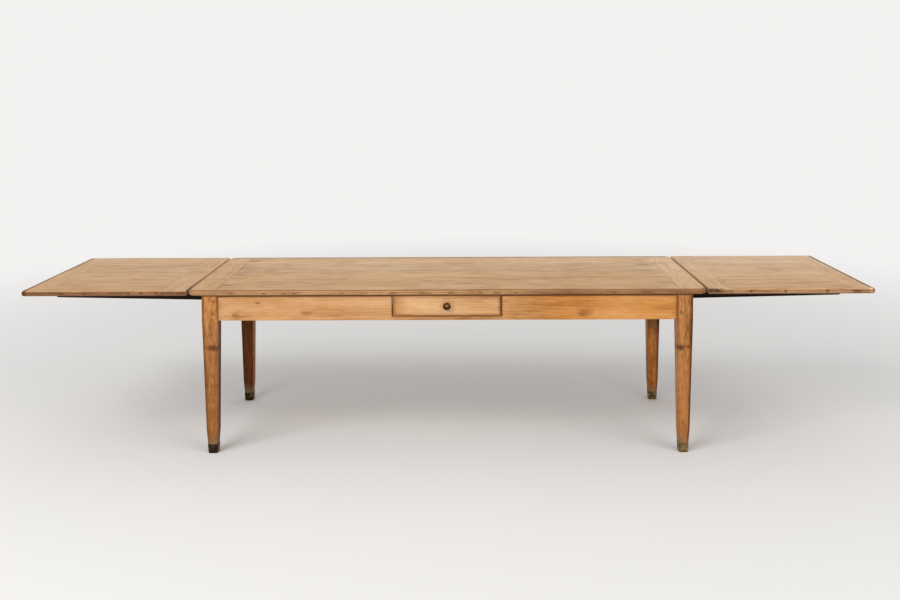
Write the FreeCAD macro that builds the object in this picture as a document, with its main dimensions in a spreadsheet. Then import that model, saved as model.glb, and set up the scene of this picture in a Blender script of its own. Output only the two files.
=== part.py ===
import FreeCAD, Part
import math
import os

import Sketcher

# Draw leaf table, drawn open. Millimetres, +X along the table to the right, front at -Y, floor at Z 0.
# The loose top lies on the frame between two leaves, which hang on tapered runners.

DRIVING = {
    # whole table
    "table_height": 760,
    "top_length": 2360,
    "top_width": 800,
    "board_thickness": 25,
    "leaf_length": 750,
    "leaf_gap": 4,
    # moulded edges and clamps of the top and of the leaves
    "top_clamp_width": 130,
    "top_corner_radius": 45,
    "top_nosing_radius": 9,
    "quirk_depth": 2.5,
    "quirk_width": 1.5,
    "leaf_clamp_width": 110,
    "leaf_corner_radius": 16,
    "leaf_nosing_radius": 11,
    "nosing_limit_share": 0.48,
    "corner_limit_share": 1.1,
    "tongue_thickness": 8,
    "tongue_length": 12,
    "tongue_stop": 40,
    # legs and foot caps
    "end_overhang": 65,
    "side_overhang": 10,
    "leg_size": 72,
    "ankle_size": 53,
    "ankle_height": 110,
    "foot_size": 40,
    "leg_arris_radius": 6,
    "cap_height": 42,
    "cap_wall": 1.5,
    "cap_floor": 3,
    # aprons, their tenons and pegs
    "apron_depth": 116,
    "apron_thickness": 24,
    "apron_setback": 2,
    "apron_arris_radius": 2,
    "tenon_thickness": 10,
    "tenon_length": 44,
    "tenon_shoulder": 10,
    "glue_room": 1,
    "peg_radius": 5,
    "peg_fit": 0.1,
    "peg_depth": 36,
    "peg_proud": 0.8,
    "peg_inset": 20,
    "peg_drop": 26,
    "peg_spacing": 60,
    # runners of the leaves and the rails that guide them
    "runner_setback": 100,
    "runner_thickness": 40,
    "runner_depth": 40,
    "runner_tip_depth": 26,
    "runner_tip_inset": 110,
    "runner_tip_slant": 16,
    "runner_tail": 240,
    "tail_relief": 2,
    "runner_tongue_width": 8,
    "runner_tongue_height": 10,
    "runner_tongue_drop": 13,
    "slide_gap": 0.5,
    "guide_rail_thickness": 34,
    # screws that hold the runners to the leaves
    "screw_radius": 2.5,
    "screw_bite": 14,
    "screw_land": 11,
    "screw_head_radius": 5,
    "screw_head_height": 3,
    "counterbore_radius": 6.5,
    # cross rail and the pegs that keep the top in place
    "cross_rail_width": 60,
    "stub_length": 12,
    "stub_width": 40,
    "stub_thickness": 14,
    "guide_peg_radius": 9,
    "guide_peg_spacing": 200,
    "guide_peg_drop": 36,
    "guide_peg_seat": 14,
    "guide_peg_chamfer": 2,
    # drawer
    "drawer_width": 492,
    "drawer_front_height": 94,
    "drawer_front_thickness": 20,
    "drawer_front_arris": 1.5,
    "drawer_gap": 2.5,
    "drawer_depth": 450,
    "drawer_side_thickness": 12,
    "drawer_side_height": 52,
    "drawer_back_thickness": 12,
    "drawer_back_drop": 4,
    "drawer_bottom_thickness": 7,
    "drawer_bottom_rise": 8,
    "drawer_groove_depth": 6,
    "dovetail_length": 13,
    # drawer runners and stops
    "bearer_width": 34,
    "bearer_height": 15,
    "bearer_guide_height": 20,
    "bearer_guide_gap": 1,
    "stop_length": 20,
    "stop_height": 14,
    # knob
    "knob_radius": 17.5,
    "knob_projection": 30,
    "knob_base_radius": 12,
    "knob_base_height": 4,
    "knob_neck_radius": 7,
    "knob_neck_height": 13,
    "knob_rim_height": 5,
    "knob_crown_radius": 7,
    "knob_round": 2.5,
    "stem_radius": 3,
    "stem_tail": 2,
    "nut_radius": 7,
    "nut_height": 5,
    # what a cut runs past the piece that it cuts
    "overrun": 5,
}

DERIVED = {
    "frame_top": "table_height - board_thickness",
    "top_half_length": "top_length / 2",
    "top_half_width": "top_width / 2",
    "top_nosing": "min(top_nosing_radius; nosing_limit_share * (board_thickness - quirk_depth))",
    "leaf_nosing": "min(leaf_nosing_radius; nosing_limit_share * board_thickness)",
    "field_inset": "top_nosing + quirk_width",
    "top_corner": "max(top_corner_radius; corner_limit_share * top_nosing)",
    "leaf_corner": "max(leaf_corner_radius; corner_limit_share * leaf_nosing)",
    "leg_half": "leg_size / 2",
    "ankle_half": "ankle_size / 2",
    "foot_half": "foot_size / 2",
    "leg_x": "top_half_length - end_overhang - leg_half",
    "leg_y": "top_half_width - side_overhang - leg_half",
    "leg_inner_x": "leg_x - leg_half",
    "leg_inner_y": "leg_y - leg_half",
    "knee_height": "frame_top - apron_depth",
    "foot_slope": "(ankle_half - foot_half) / (ankle_height - cap_floor)",
    "apron_face_x": "leg_x + leg_half - apron_setback",
    "apron_face_y": "leg_y + leg_half - apron_setback",
    "apron_inner_x": "apron_face_x - apron_thickness",
    "apron_inner_y": "apron_face_y - apron_thickness",
    "tenon_inset": "(apron_thickness - tenon_thickness) / 2",
    "tenon_height": "apron_depth - 2 * tenon_shoulder",
    "leaf_inner_x": "top_half_length + leaf_gap",
    "leaf_outer_x": "leaf_inner_x + leaf_length",
    "runner_outer_y": "top_half_width - runner_setback",
    "runner_inner_y": "runner_outer_y - runner_thickness",
    "runner_tail_x": "apron_inner_x - runner_tail",
    "runner_tip_x": "leaf_outer_x - runner_tip_inset",
    "runner_held": "leaf_length - runner_tip_inset",
    "rail_outer_y": "runner_inner_y - slide_gap",
    "rail_inner_y": "rail_outer_y - guide_rail_thickness",
    "opening_height": "drawer_front_height + 2 * drawer_gap",
    "opening_half": "drawer_width / 2 + drawer_gap",
    "drawer_floor": "frame_top - opening_height",
    "drawer_half": "drawer_width / 2",
    "drawer_inner_half": "drawer_half - drawer_side_thickness",
    "drawer_run": "drawer_depth - drawer_front_thickness",
    "bearer_outer": "drawer_half + bearer_guide_gap + drawer_side_thickness",
}

TOP_BOARD_SHARES = (0.29, 0.21, 0.26, 0.24)
LEAF_BOARD_SHARES = (0.26, 0.25, 0.22, 0.27)
SCREW_SHARES = (0.08, 0.47, 0.9)
DOVETAIL_SHARES = ((0.62, 0.88), (0.16, 0.42))
DOVETAIL_FLARE_SHARE = 0.05
PLANE_TOLERANCE_SHARE = 1e-6

doc = FreeCAD.newDocument("DrawLeafTable")
sheet = doc.addObject("Spreadsheet::Sheet", "dim")
subparts = []


def fill_sheet():
    """Driving sizes first, as plain numbers, then the places worked out from them."""
    cells = [(alias, str(value)) for alias, value in DRIVING.items()]
    cells += [(alias, "=" + formula) for alias, formula in DERIVED.items()]
    for row, (alias, text) in enumerate(cells, start=1):
        sheet.set(f"A{row}", alias)
        sheet.set(f"B{row}", text)
        sheet.setAlias(f"B{row}", alias)
    doc.recompute()


def value_of(expression):
    return float(sheet.evalExpression(expression))


def bind(target, expressions):
    for prop, expression in expressions.items():
        target.setExpression(prop, expression)


def place(target, x="0", y="0", z="0"):
    bind(target, {"Placement.Base.x": x, "Placement.Base.y": y, "Placement.Base.z": z})


def times(sign, expression):
    return f"{sign} * ({expression})"


def lower_of(sign, near, far):
    """Lower end of the stretch from near to far when both lie on the side that sign names."""
    return near if sign > 0 else f"-({far})"


def new_body(label, x="0", y="0", z="0"):
    body = doc.addObject("PartDesign::Body", label)
    body.Label = label
    place(body, x, y, z)
    return body


def box(body, kind, name, size, corner=("0", "0", "0")):
    feature = body.newObject(f"PartDesign::{kind}Box", name)
    bind(feature, dict(zip(("Length", "Width", "Height"), size)))
    place(feature, *corner)
    return feature


def cylinder(body, kind, name, radius, length, foot, rotation=FreeCAD.Rotation()):
    feature = body.newObject(f"PartDesign::{kind}Cylinder", name)
    feature.Placement.Rotation = rotation
    bind(feature, {"Radius": radius, "Height": length})
    place(feature, *foot)
    return feature


def sketch_on(body, name, role):
    sketch = body.newObject("Sketcher::SketchObject", name)
    plane = next(feature for feature in body.Origin.OriginFeatures if feature.Role == role)
    sketch.AttachmentSupport = [(plane, "")]
    sketch.MapMode = "FlatFace"
    return sketch


def polygon(body, name, role, points):
    """Closed outline through points that are pairs of expressions."""
    sketch = sketch_on(body, name, role)
    corners = [FreeCAD.Vector(value_of(u), value_of(v), 0) for u, v in points]
    count = len(corners)
    for index in range(count):
        sketch.addGeometry(Part.LineSegment(corners[index], corners[(index + 1) % count]), False)
    for index in range(count):
        sketch.addConstraint(Sketcher.Constraint("Coincident", index, 2, (index + 1) % count, 1))
    for index, point in enumerate(points):
        for kind, expression, value in zip(("DistanceX", "DistanceY"), point, corners[index]):
            number = sketch.addConstraint(Sketcher.Constraint(kind, -1, 1, index, 1, value))
            sketch.setExpression(f"Constraints[{number}]", expression)
    return sketch


def rounded_square(body, name, half, radius, height):
    """Square section with round corners, centred on the body's axis at the given height."""
    sketch = sketch_on(body, name, "XY_Plane")
    sketch.setExpression("AttachmentOffset.Base.z", height)
    reach = value_of(half)
    bend = value_of(radius)
    straight = reach - bend
    sides = ((-straight, -reach, straight, -reach), (reach, -straight, reach, straight),
             (straight, reach, -straight, reach), (-reach, straight, -reach, -straight))
    for x1, y1, x2, y2 in sides:
        sketch.addGeometry(Part.LineSegment(FreeCAD.Vector(x1, y1, 0), FreeCAD.Vector(x2, y2, 0)), False)
    centres = ((straight, -straight), (straight, straight), (-straight, straight), (-straight, -straight))
    for index, (x, y) in enumerate(centres):
        circle = Part.Circle(FreeCAD.Vector(x, y, 0), FreeCAD.Vector(0, 0, 1), bend)
        start = (index - 1) * math.pi / 2
        sketch.addGeometry(Part.ArcOfCircle(circle, start, start + math.pi / 2), False)
    for side in range(4):
        arc = 4 + side
        sketch.addConstraint(Sketcher.Constraint("Tangent", side, 2, arc, 1))
        sketch.addConstraint(Sketcher.Constraint("Tangent", arc, 2, (side + 1) % 4, 1))
        sketch.addConstraint(Sketcher.Constraint("Horizontal" if side % 2 == 0 else "Vertical", side))
    for arc in (4, 5, 6):
        sketch.addConstraint(Sketcher.Constraint("Equal", arc, arc + 1))
    sketch.addConstraint(Sketcher.Constraint("Symmetric", 4, 3, 6, 3, -1, 1))
    for constraint, expression in (
        (Sketcher.Constraint("Radius", 4, bend), radius),
        (Sketcher.Constraint("DistanceX", -1, 1, 1, 1, reach), half),
        (Sketcher.Constraint("DistanceY", -1, 1, 2, 1, reach), half),
    ):
        number = sketch.addConstraint(constraint)
        sketch.setExpression(f"Constraints[{number}]", expression)
    return sketch


def pad(body, name, sketch, length, reverse=False):
    feature = body.newObject("PartDesign::Pad", name)
    feature.Profile = sketch
    feature.Reversed = reverse
    feature.setExpression("Length", length)
    return feature


def loft(body, name, sections):
    feature = body.newObject("PartDesign::AdditiveLoft", name)
    feature.Profile = sections[0]
    feature.Sections = sections[1:]
    feature.Ruled = True
    return feature


def dress(body, kind, name, size, choose):
    """Fillet or chamfer on the edges of the body's last feature that choose picks by bounding box."""
    doc.recompute()
    base = body.Tip
    edges = enumerate(base.Shape.Edges, start=1)
    names = [f"Edge{number}" for number, edge in edges if choose(edge.BoundBox)]
    feature = body.newObject(f"PartDesign::{kind}", name)
    feature.Base = (base, names)
    feature.setExpression("Radius" if kind == "Fillet" else "Size", size)
    return feature


def fillet(body, name, radius, choose):
    return dress(body, "Fillet", name, radius, choose)


def same(first, second):
    return abs(first - second) <= PLANE_TOLERANCE_SHARE * value_of("dim.top_length")


def keep(piece):
    subparts.append(piece)
    return piece


def group(label, members):
    """Separate solids that share one node."""
    compound = doc.addObject("Part::Compound", label)
    compound.Label = label
    compound.Links = members
    return keep(compound)


def cut_by(label, base, tools):
    """The base piece with the shapes of the tools taken out of it."""
    tool = tools[0]
    if len(tools) > 1:
        tool = doc.addObject("Part::Compound", label + "_tools")
        tool.Links = tools
    cut = doc.addObject("Part::Cut", label)
    cut.Label = label
    cut.Base = base
    cut.Tool = tool
    return keep(cut)


def corner_name(end, side):
    return f"{'back' if side > 0 else 'front'}_{'right' if end > 0 else 'left'}"


ENDS = {"left": -1, "right": 1}
SIDES = {"front": -1, "back": 1}
# turns that point an upright cylinder inwards from the outer face on the side that the sign names
TURN_TO_X = {sign: FreeCAD.Rotation(FreeCAD.Vector(0, 1, 0), -90 * sign) for sign in (-1, 1)}
TURN_TO_Y = {sign: FreeCAD.Rotation(FreeCAD.Vector(1, 0, 0), 90 * sign) for sign in (-1, 1)}


PEG_DROPS = ("dim.peg_drop", "dim.peg_drop + dim.peg_spacing")


def peg_places(end, side):
    """Mouths of a leg's four pegs on its outer faces, from the leg's axis, and their inward turns."""
    inset = "dim.leg_half - dim.peg_inset"
    for drop in PEG_DROPS:
        height = f"dim.frame_top - ({drop})"
        yield times(-end, inset), times(side, "dim.leg_half + dim.peg_proud"), height, TURN_TO_Y[side]
        yield times(end, "dim.leg_half + dim.peg_proud"), times(-side, inset), height, TURN_TO_X[end]


def make_leg(end, side):
    """Square block at the frame, a taper that quickens at the ankle, two mortises and four peg holes."""
    label = corner_name(end, side) + "_leg"
    leg = new_body(label, times(end, "dim.leg_x"), times(side, "dim.leg_y"))
    sections = [
        rounded_square(leg, label + "_foot", "dim.foot_half", "dim.leg_arris_radius", "dim.cap_floor"),
        rounded_square(leg, label + "_ankle", "dim.ankle_half", "dim.leg_arris_radius", "dim.ankle_height"),
        rounded_square(leg, label + "_knee", "dim.leg_half", "dim.leg_arris_radius", "dim.knee_height"),
        rounded_square(leg, label + "_head", "dim.leg_half", "dim.leg_arris_radius", "dim.frame_top"),
    ]
    loft(leg, label + "_taper", sections)
    depth = "dim.tenon_length + dim.glue_room"
    foot = "dim.knee_height + dim.tenon_shoulder"
    from_face = "dim.leg_half - dim.apron_setback - dim.tenon_inset - dim.tenon_thickness"
    long_corner = (
        "-dim.leg_half" if end > 0 else f"dim.leg_half - ({depth})",
        lower_of(side, from_face, f"{from_face} + dim.tenon_thickness"),
        foot,
    )
    box(leg, "Subtractive", label + "_long_mortise",
        (depth, "dim.tenon_thickness", "dim.tenon_height"), long_corner)
    end_corner = (
        lower_of(end, from_face, f"{from_face} + dim.tenon_thickness"),
        "-dim.leg_half" if side > 0 else f"dim.leg_half - ({depth})",
        foot,
    )
    box(leg, "Subtractive", label + "_end_mortise",
        ("dim.tenon_thickness", depth, "dim.tenon_height"), end_corner)
    for number, (x, y, z, turn) in enumerate(peg_places(end, side)):
        cylinder(leg, "Subtractive", f"{label}_peg_hole_{number}", "dim.peg_radius + dim.peg_fit",
                 "dim.peg_depth + dim.peg_proud", (x, y, z), turn)
    return keep(leg)


def make_foot_cap(end, side, leg):
    """Metal shoe with a closed floor that follows the leg's taper."""
    label = corner_name(end, side) + "_foot_cap"
    shoe = new_body(label + "_shoe", times(end, "dim.leg_x"), times(side, "dim.leg_y"))
    radius = "dim.leg_arris_radius + dim.cap_wall"
    low = "dim.foot_half + dim.cap_wall - dim.foot_slope * dim.cap_floor"
    high = "dim.foot_half + dim.cap_wall + dim.foot_slope * (dim.cap_height - dim.cap_floor)"
    sections = [
        rounded_square(shoe, label + "_floor", low, radius, "0"),
        rounded_square(shoe, label + "_rim", high, radius, "dim.cap_height"),
    ]
    loft(shoe, label + "_wall", sections)
    return cut_by(label, shoe, [leg])


def make_joint_pegs():
    pegs = []
    for end in ENDS.values():
        for side in SIDES.values():
            for number, (x, y, z, turn) in enumerate(peg_places(end, side)):
                peg = doc.addObject("Part::Cylinder", f"{corner_name(end, side)}_peg_{number}")
                peg.Placement.Rotation = turn
                bind(peg, {"Radius": "dim.peg_radius", "Height": "dim.peg_depth + dim.peg_proud"})
                place(peg, f"{times(end, 'dim.leg_x')} + {x}", f"{times(side, 'dim.leg_y')} + {y}", z)
                pegs.append(peg)
    return group("joint_pegs", pegs)


def make_long_apron(label, side, outline):
    """Board between two legs, with a tenon at each end; the front one has the drawer's cut-out."""
    apron = new_body(label, y=lower_of(side, "dim.apron_inner_y", "dim.apron_face_y"), z="dim.knee_height")
    sketch = polygon(apron, label + "_outline", "XZ_Plane", outline)
    pad(apron, label + "_board", sketch, "dim.apron_thickness", True)
    face = 0 if side < 0 else value_of("dim.apron_thickness")
    fillet(apron, label + "_arris", "dim.apron_arris_radius",
           lambda edge: same(edge.YMin, face) and same(edge.YMax, face) and same(edge.ZMax, 0))
    for name, end in ENDS.items():
        box(apron, "Additive", f"{label}_{name}_tenon",
            ("dim.tenon_length", "dim.tenon_thickness", "dim.tenon_height"),
            (lower_of(end, "dim.leg_inner_x", "dim.leg_inner_x + dim.tenon_length"),
             "dim.tenon_inset", "dim.tenon_shoulder"))
        for number, drop in enumerate(PEG_DROPS):
            cylinder(apron, "Subtractive", f"{label}_{name}_peg_hole_{number}",
                     "dim.peg_radius + dim.peg_fit", "dim.apron_thickness",
                     (times(end, "dim.leg_inner_x + dim.peg_inset"), "0", f"dim.apron_depth - ({drop})"),
                     TURN_TO_Y[-1])
    return keep(apron)


def make_front_apron():
    sill = "dim.apron_depth - dim.opening_height"
    outline = [
        ("-dim.leg_inner_x", "0"), ("dim.leg_inner_x", "0"), ("dim.leg_inner_x", "dim.apron_depth"),
        ("dim.opening_half", "dim.apron_depth"), ("dim.opening_half", sill),
        ("-dim.opening_half", sill), ("-dim.opening_half", "dim.apron_depth"),
        ("-dim.leg_inner_x", "dim.apron_depth"),
    ]
    return make_long_apron("front_apron", SIDES["front"], outline)


def make_back_apron():
    outline = [
        ("-dim.leg_inner_x", "0"), ("dim.leg_inner_x", "0"),
        ("dim.leg_inner_x", "dim.apron_depth"), ("-dim.leg_inner_x", "dim.apron_depth"),
    ]
    return make_long_apron("back_apron", SIDES["back"], outline)


def runner_notch(side):
    """Outline of one runner's way through an end apron, from its outer side to its inner side."""
    outer = times(side, "dim.runner_outer_y + dim.slide_gap")
    inner = times(side, "dim.rail_outer_y")
    groove = times(side, "dim.rail_outer_y - dim.runner_tongue_width")
    bottom = "dim.apron_depth - dim.runner_depth"
    high = "dim.apron_depth - dim.runner_tongue_drop + dim.slide_gap"
    low = "dim.apron_depth - dim.runner_tongue_drop - dim.runner_tongue_height - dim.slide_gap"
    return [(outer, "dim.apron_depth"), (outer, bottom), (inner, bottom), (inner, low), (groove, low),
            (groove, high), (inner, high), (inner, "dim.apron_depth")]


def make_end_apron(name, end):
    """Board between the legs of one end, notched from above for the two runners."""
    label = name + "_end_apron"
    apron = new_body(label, x=lower_of(end, "dim.apron_inner_x", "dim.apron_face_x"), z="dim.knee_height")
    outline = [("-dim.leg_inner_y", "0"), ("dim.leg_inner_y", "0"), ("dim.leg_inner_y", "dim.apron_depth")]
    outline += runner_notch(SIDES["back"])
    outline += list(reversed(runner_notch(SIDES["front"])))
    outline += [("-dim.leg_inner_y", "dim.apron_depth")]
    sketch = polygon(apron, label + "_outline", "YZ_Plane", outline)
    pad(apron, label + "_board", sketch, "dim.apron_thickness")
    for side_name, side in SIDES.items():
        box(apron, "Additive", f"{label}_{side_name}_tenon",
            ("dim.tenon_thickness", "dim.tenon_length", "dim.tenon_height"),
            ("dim.tenon_inset", lower_of(side, "dim.leg_inner_y", "dim.leg_inner_y + dim.tenon_length"),
             "dim.tenon_shoulder"))
        for number, drop in enumerate(PEG_DROPS):
            cylinder(apron, "Subtractive", f"{label}_{side_name}_peg_hole_{number}",
                     "dim.peg_radius + dim.peg_fit", "dim.apron_thickness",
                     ("0", times(side, "dim.leg_inner_y + dim.peg_inset"), f"dim.apron_depth - ({drop})"),
                     TURN_TO_X[-1])
    return keep(apron)


def make_guide_rail(name, side):
    """Rail along the frame, grooved for the runners' tongues, mortised for the cross rail."""
    label = name + "_guide_rail"
    rail = new_body(label, "-dim.apron_inner_x", lower_of(side, "dim.rail_inner_y", "dim.rail_outer_y"),
                    "dim.frame_top - dim.runner_depth")
    box(rail, "Additive", label + "_blank",
        ("2 * dim.apron_inner_x", "dim.guide_rail_thickness", "dim.runner_depth"))
    box(rail, "Subtractive", label + "_groove",
        ("2 * (dim.apron_inner_x + dim.overrun)", "dim.runner_tongue_width",
         "dim.runner_tongue_height + 2 * dim.slide_gap"),
        ("-dim.overrun", "0" if side < 0 else "dim.guide_rail_thickness - dim.runner_tongue_width",
         "dim.runner_depth - dim.runner_tongue_drop - dim.runner_tongue_height - dim.slide_gap"))
    box(rail, "Subtractive", label + "_mortise", ("dim.stub_width", "dim.stub_length", "dim.stub_thickness"),
        ("dim.apron_inner_x - dim.stub_width / 2",
         "dim.guide_rail_thickness - dim.stub_length" if side < 0 else "0",
         "(dim.runner_depth - dim.stub_thickness) / 2"))
    return keep(rail)


def make_cross_rail():
    """Short rail between the guide rails, with stub tenons and bored for the top's two pegs."""
    rail = new_body("centre_cross_rail", "-dim.cross_rail_width / 2", "-dim.rail_inner_y",
                    "dim.frame_top - dim.runner_depth")
    box(rail, "Additive", "cross_rail_blank",
        ("dim.cross_rail_width", "2 * dim.rail_inner_y", "dim.runner_depth"))
    box(rail, "Additive", "cross_rail_stubs",
        ("dim.stub_width", "2 * (dim.rail_inner_y + dim.stub_length)", "dim.stub_thickness"),
        ("(dim.cross_rail_width - dim.stub_width) / 2", "-dim.stub_length",
         "(dim.runner_depth - dim.stub_thickness) / 2"))
    for name, side in SIDES.items():
        middle = f"dim.rail_inner_y + {times(side, 'dim.guide_peg_spacing / 2')}"
        cylinder(rail, "Subtractive", f"cross_rail_{name}_bore", "dim.guide_peg_radius + dim.slide_gap",
                 "dim.runner_depth + 2 * dim.overrun", ("dim.cross_rail_width / 2", middle, "-dim.overrun"))
    return keep(rail)


def make_drawer_bearer(name, end):
    """Runner under one drawer side, from apron to apron, with a lip that guides the side."""
    label = name + "_drawer_runner"
    bearer = new_body(label, y="-dim.apron_inner_y", z="dim.drawer_floor")
    inner = times(end, "dim.bearer_outer - dim.bearer_width")
    outer = times(end, "dim.bearer_outer")
    lip = times(end, "dim.drawer_half + dim.bearer_guide_gap")
    outline = [
        (inner, "-dim.bearer_height"), (outer, "-dim.bearer_height"),
        (outer, "dim.bearer_guide_height"), (lip, "dim.bearer_guide_height"),
        (lip, "0"), (inner, "0"),
    ]
    sketch = polygon(bearer, label + "_section", "XZ_Plane", outline)
    pad(bearer, label + "_length", sketch, "2 * dim.apron_inner_y", True)
    return keep(bearer)


def make_drawer_stops():
    stops = []
    for name, end in ENDS.items():
        stop = doc.addObject("Part::Box", name + "_drawer_stop")
        bind(stop, {"Length": "dim.drawer_side_thickness", "Width": "dim.stop_length",
                    "Height": "dim.stop_height"})
        place(stop, lower_of(end, "dim.drawer_inner_half", "dim.drawer_half"),
              "dim.drawer_depth - dim.apron_face_y + dim.slide_gap", "dim.drawer_floor")
        stops.append(stop)
    return group("drawer_stops", stops)


def make_boards(prefix, start, length, shares, nosing, quirk, bores):
    """Boards side by side, front to back. The outer two carry the moulded edge; all have end tongues."""
    offset = 0
    last = len(shares) - 1
    for number, share in enumerate(shares):
        label = f"{prefix}_board_{number + 1}"
        width = f"dim.top_width * {share}"
        board = new_body(label, start, f"dim.top_width * {offset} - dim.top_half_width", "dim.frame_top")
        outer = number in (0, last)
        raised = quirk if outer else "0"
        box(board, "Additive", label + "_blank", (length, width, f"dim.board_thickness - {raised}"))
        if outer:
            face = 0 if number == 0 else value_of(width)
            fillet(board, label + "_nosing", nosing,
                   lambda edge: same(edge.YMin, face) and same(edge.YMax, face) and same(edge.ZLength, 0))
        if outer and quirk != "0":
            box(board, "Additive", label + "_field", (length, f"{width} - dim.field_inset", quirk),
                ("0", "dim.field_inset" if number == 0 else "0", f"dim.board_thickness - {quirk}"))
        near = "dim.tongue_stop" if number == 0 else "0"
        far = "dim.tongue_stop" if number == last else "0"
        for end_name, corner in (("left", "-dim.tongue_length"), ("right", length)):
            box(board, "Additive", f"{label}_{end_name}_tongue",
                ("dim.tongue_length", f"{width} - {near} - {far}", "dim.tongue_thickness"),
                (corner, near, "(dim.board_thickness - dim.tongue_thickness) / 2"))
        from_edge = f"dim.top_half_width - dim.top_width * {offset}"
        for bore_number, (x, y, radius, depth) in enumerate(bores.get(number, [])):
            cylinder(board, "Subtractive", f"{label}_bore_{bore_number}", radius, f"{depth} + dim.overrun",
                     (f"{x} - ({start})", f"{y} + {from_edge}", "-dim.overrun"))
        keep(board)
        offset = round(offset + share, 6)


def make_clamp(label, start, width, height, outward, nosing, corner_radius="", bores=()):
    """Cross piece at a panel's end, grooved for the boards' tongues; a corner radius rounds its free end."""
    clamp = new_body(label, start, "-dim.top_half_width", "dim.frame_top")
    box(clamp, "Additive", label + "_blank", (width, "dim.top_width", height))
    free = value_of(width) if outward > 0 else 0
    square_ends = [free, value_of(width) - free]
    if corner_radius:
        level = value_of(height)
        fillet(clamp, label + "_corners", corner_radius,
               lambda edge: same(edge.XMin, free) and same(edge.XMax, free) and same(edge.ZLength, level))
        square_ends.remove(free)
    fillet(clamp, label + "_nosing", nosing,
           lambda edge: same(edge.ZLength, 0) and not any(
               same(edge.XMin, end) and same(edge.XMax, end) for end in square_ends))
    box(clamp, "Subtractive", label + "_groove",
        ("dim.tongue_length + dim.overrun", "dim.top_width - 2 * dim.tongue_stop", "dim.tongue_thickness"),
        ("-dim.overrun" if outward > 0 else f"{width} - dim.tongue_length", "dim.tongue_stop",
         "(dim.board_thickness - dim.tongue_thickness) / 2"))
    for number, (x, y, radius, depth) in enumerate(bores):
        cylinder(clamp, "Subtractive", f"{label}_bore_{number}", radius, f"{depth} + dim.overrun",
                 (f"{x} - ({start})", f"{y} + dim.top_half_width", "-dim.overrun"))
    return clamp


def make_top_clamp(name, end):
    """Clamp of the main top: a nosed layer with rounded corners and a raised field on it."""
    label = f"top_{name}_clamp"
    start = lower_of(end, "dim.top_half_length - dim.top_clamp_width", "dim.top_half_length")
    height = "dim.board_thickness - dim.quirk_depth"
    nosed = make_clamp(label + "_nosed", start, "dim.top_clamp_width", height, end,
                       "dim.top_nosing", "dim.top_corner")
    field_start = start if end > 0 else f"{start} + dim.field_inset"
    field = new_body(label + "_field", field_start, "dim.field_inset - dim.top_half_width",
                     f"dim.frame_top + {height}")
    length = "dim.top_clamp_width - dim.field_inset"
    box(field, "Additive", label + "_field_blank",
        (length, "dim.top_width - 2 * dim.field_inset", "dim.quirk_depth"))
    free = value_of(length) if end > 0 else 0
    fillet(field, label + "_field_corners", "dim.top_corner - dim.field_inset",
           lambda edge: same(edge.XMin, free) and same(edge.XMax, free) and same(edge.YLength, 0))
    clamp = doc.addObject("Part::Fuse", label)
    clamp.Label = label
    clamp.Base = nosed
    clamp.Tool = field
    return keep(clamp)


def make_main_top():
    """Loose top: boards between two clamps, with two pegs under it that stand in the cross rail."""
    radius = "dim.guide_peg_radius"
    bores = {
        number: [("0", times(side, "dim.guide_peg_spacing / 2"), radius, "dim.guide_peg_seat")]
        for number, side in ((1, SIDES["front"]), (2, SIDES["back"]))
    }
    start = "dim.top_clamp_width - dim.top_half_length"
    make_boards("top", start, "dim.top_length - 2 * dim.top_clamp_width", TOP_BOARD_SHARES,
                "dim.top_nosing", "dim.quirk_depth", bores)
    for name, end in ENDS.items():
        make_top_clamp(name, end)
    pegs = []
    for name, side in SIDES.items():
        label = name + "_guide_peg"
        peg = new_body(label, "0", times(side, "dim.guide_peg_spacing / 2"),
                       "dim.frame_top - dim.guide_peg_drop")
        cylinder(peg, "Additive", label + "_dowel", radius, "dim.guide_peg_drop + dim.guide_peg_seat",
                 ("0", "0", "0"))
        dress(peg, "Chamfer", label + "_tip", "dim.guide_peg_chamfer", lambda edge: same(edge.ZMax, 0))
        pegs.append(peg)
    group("top_guide_pegs", pegs)


def screw_places(end):
    """Where a leaf's screws stand, as places along the table, and the side of the runner they hold."""
    for share in SCREW_SHARES:
        x = times(end, f"dim.leaf_inner_x + {share} * dim.runner_held")
        for side in SIDES.values():
            yield x, times(side, "dim.runner_outer_y - dim.runner_thickness / 2"), side


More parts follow.
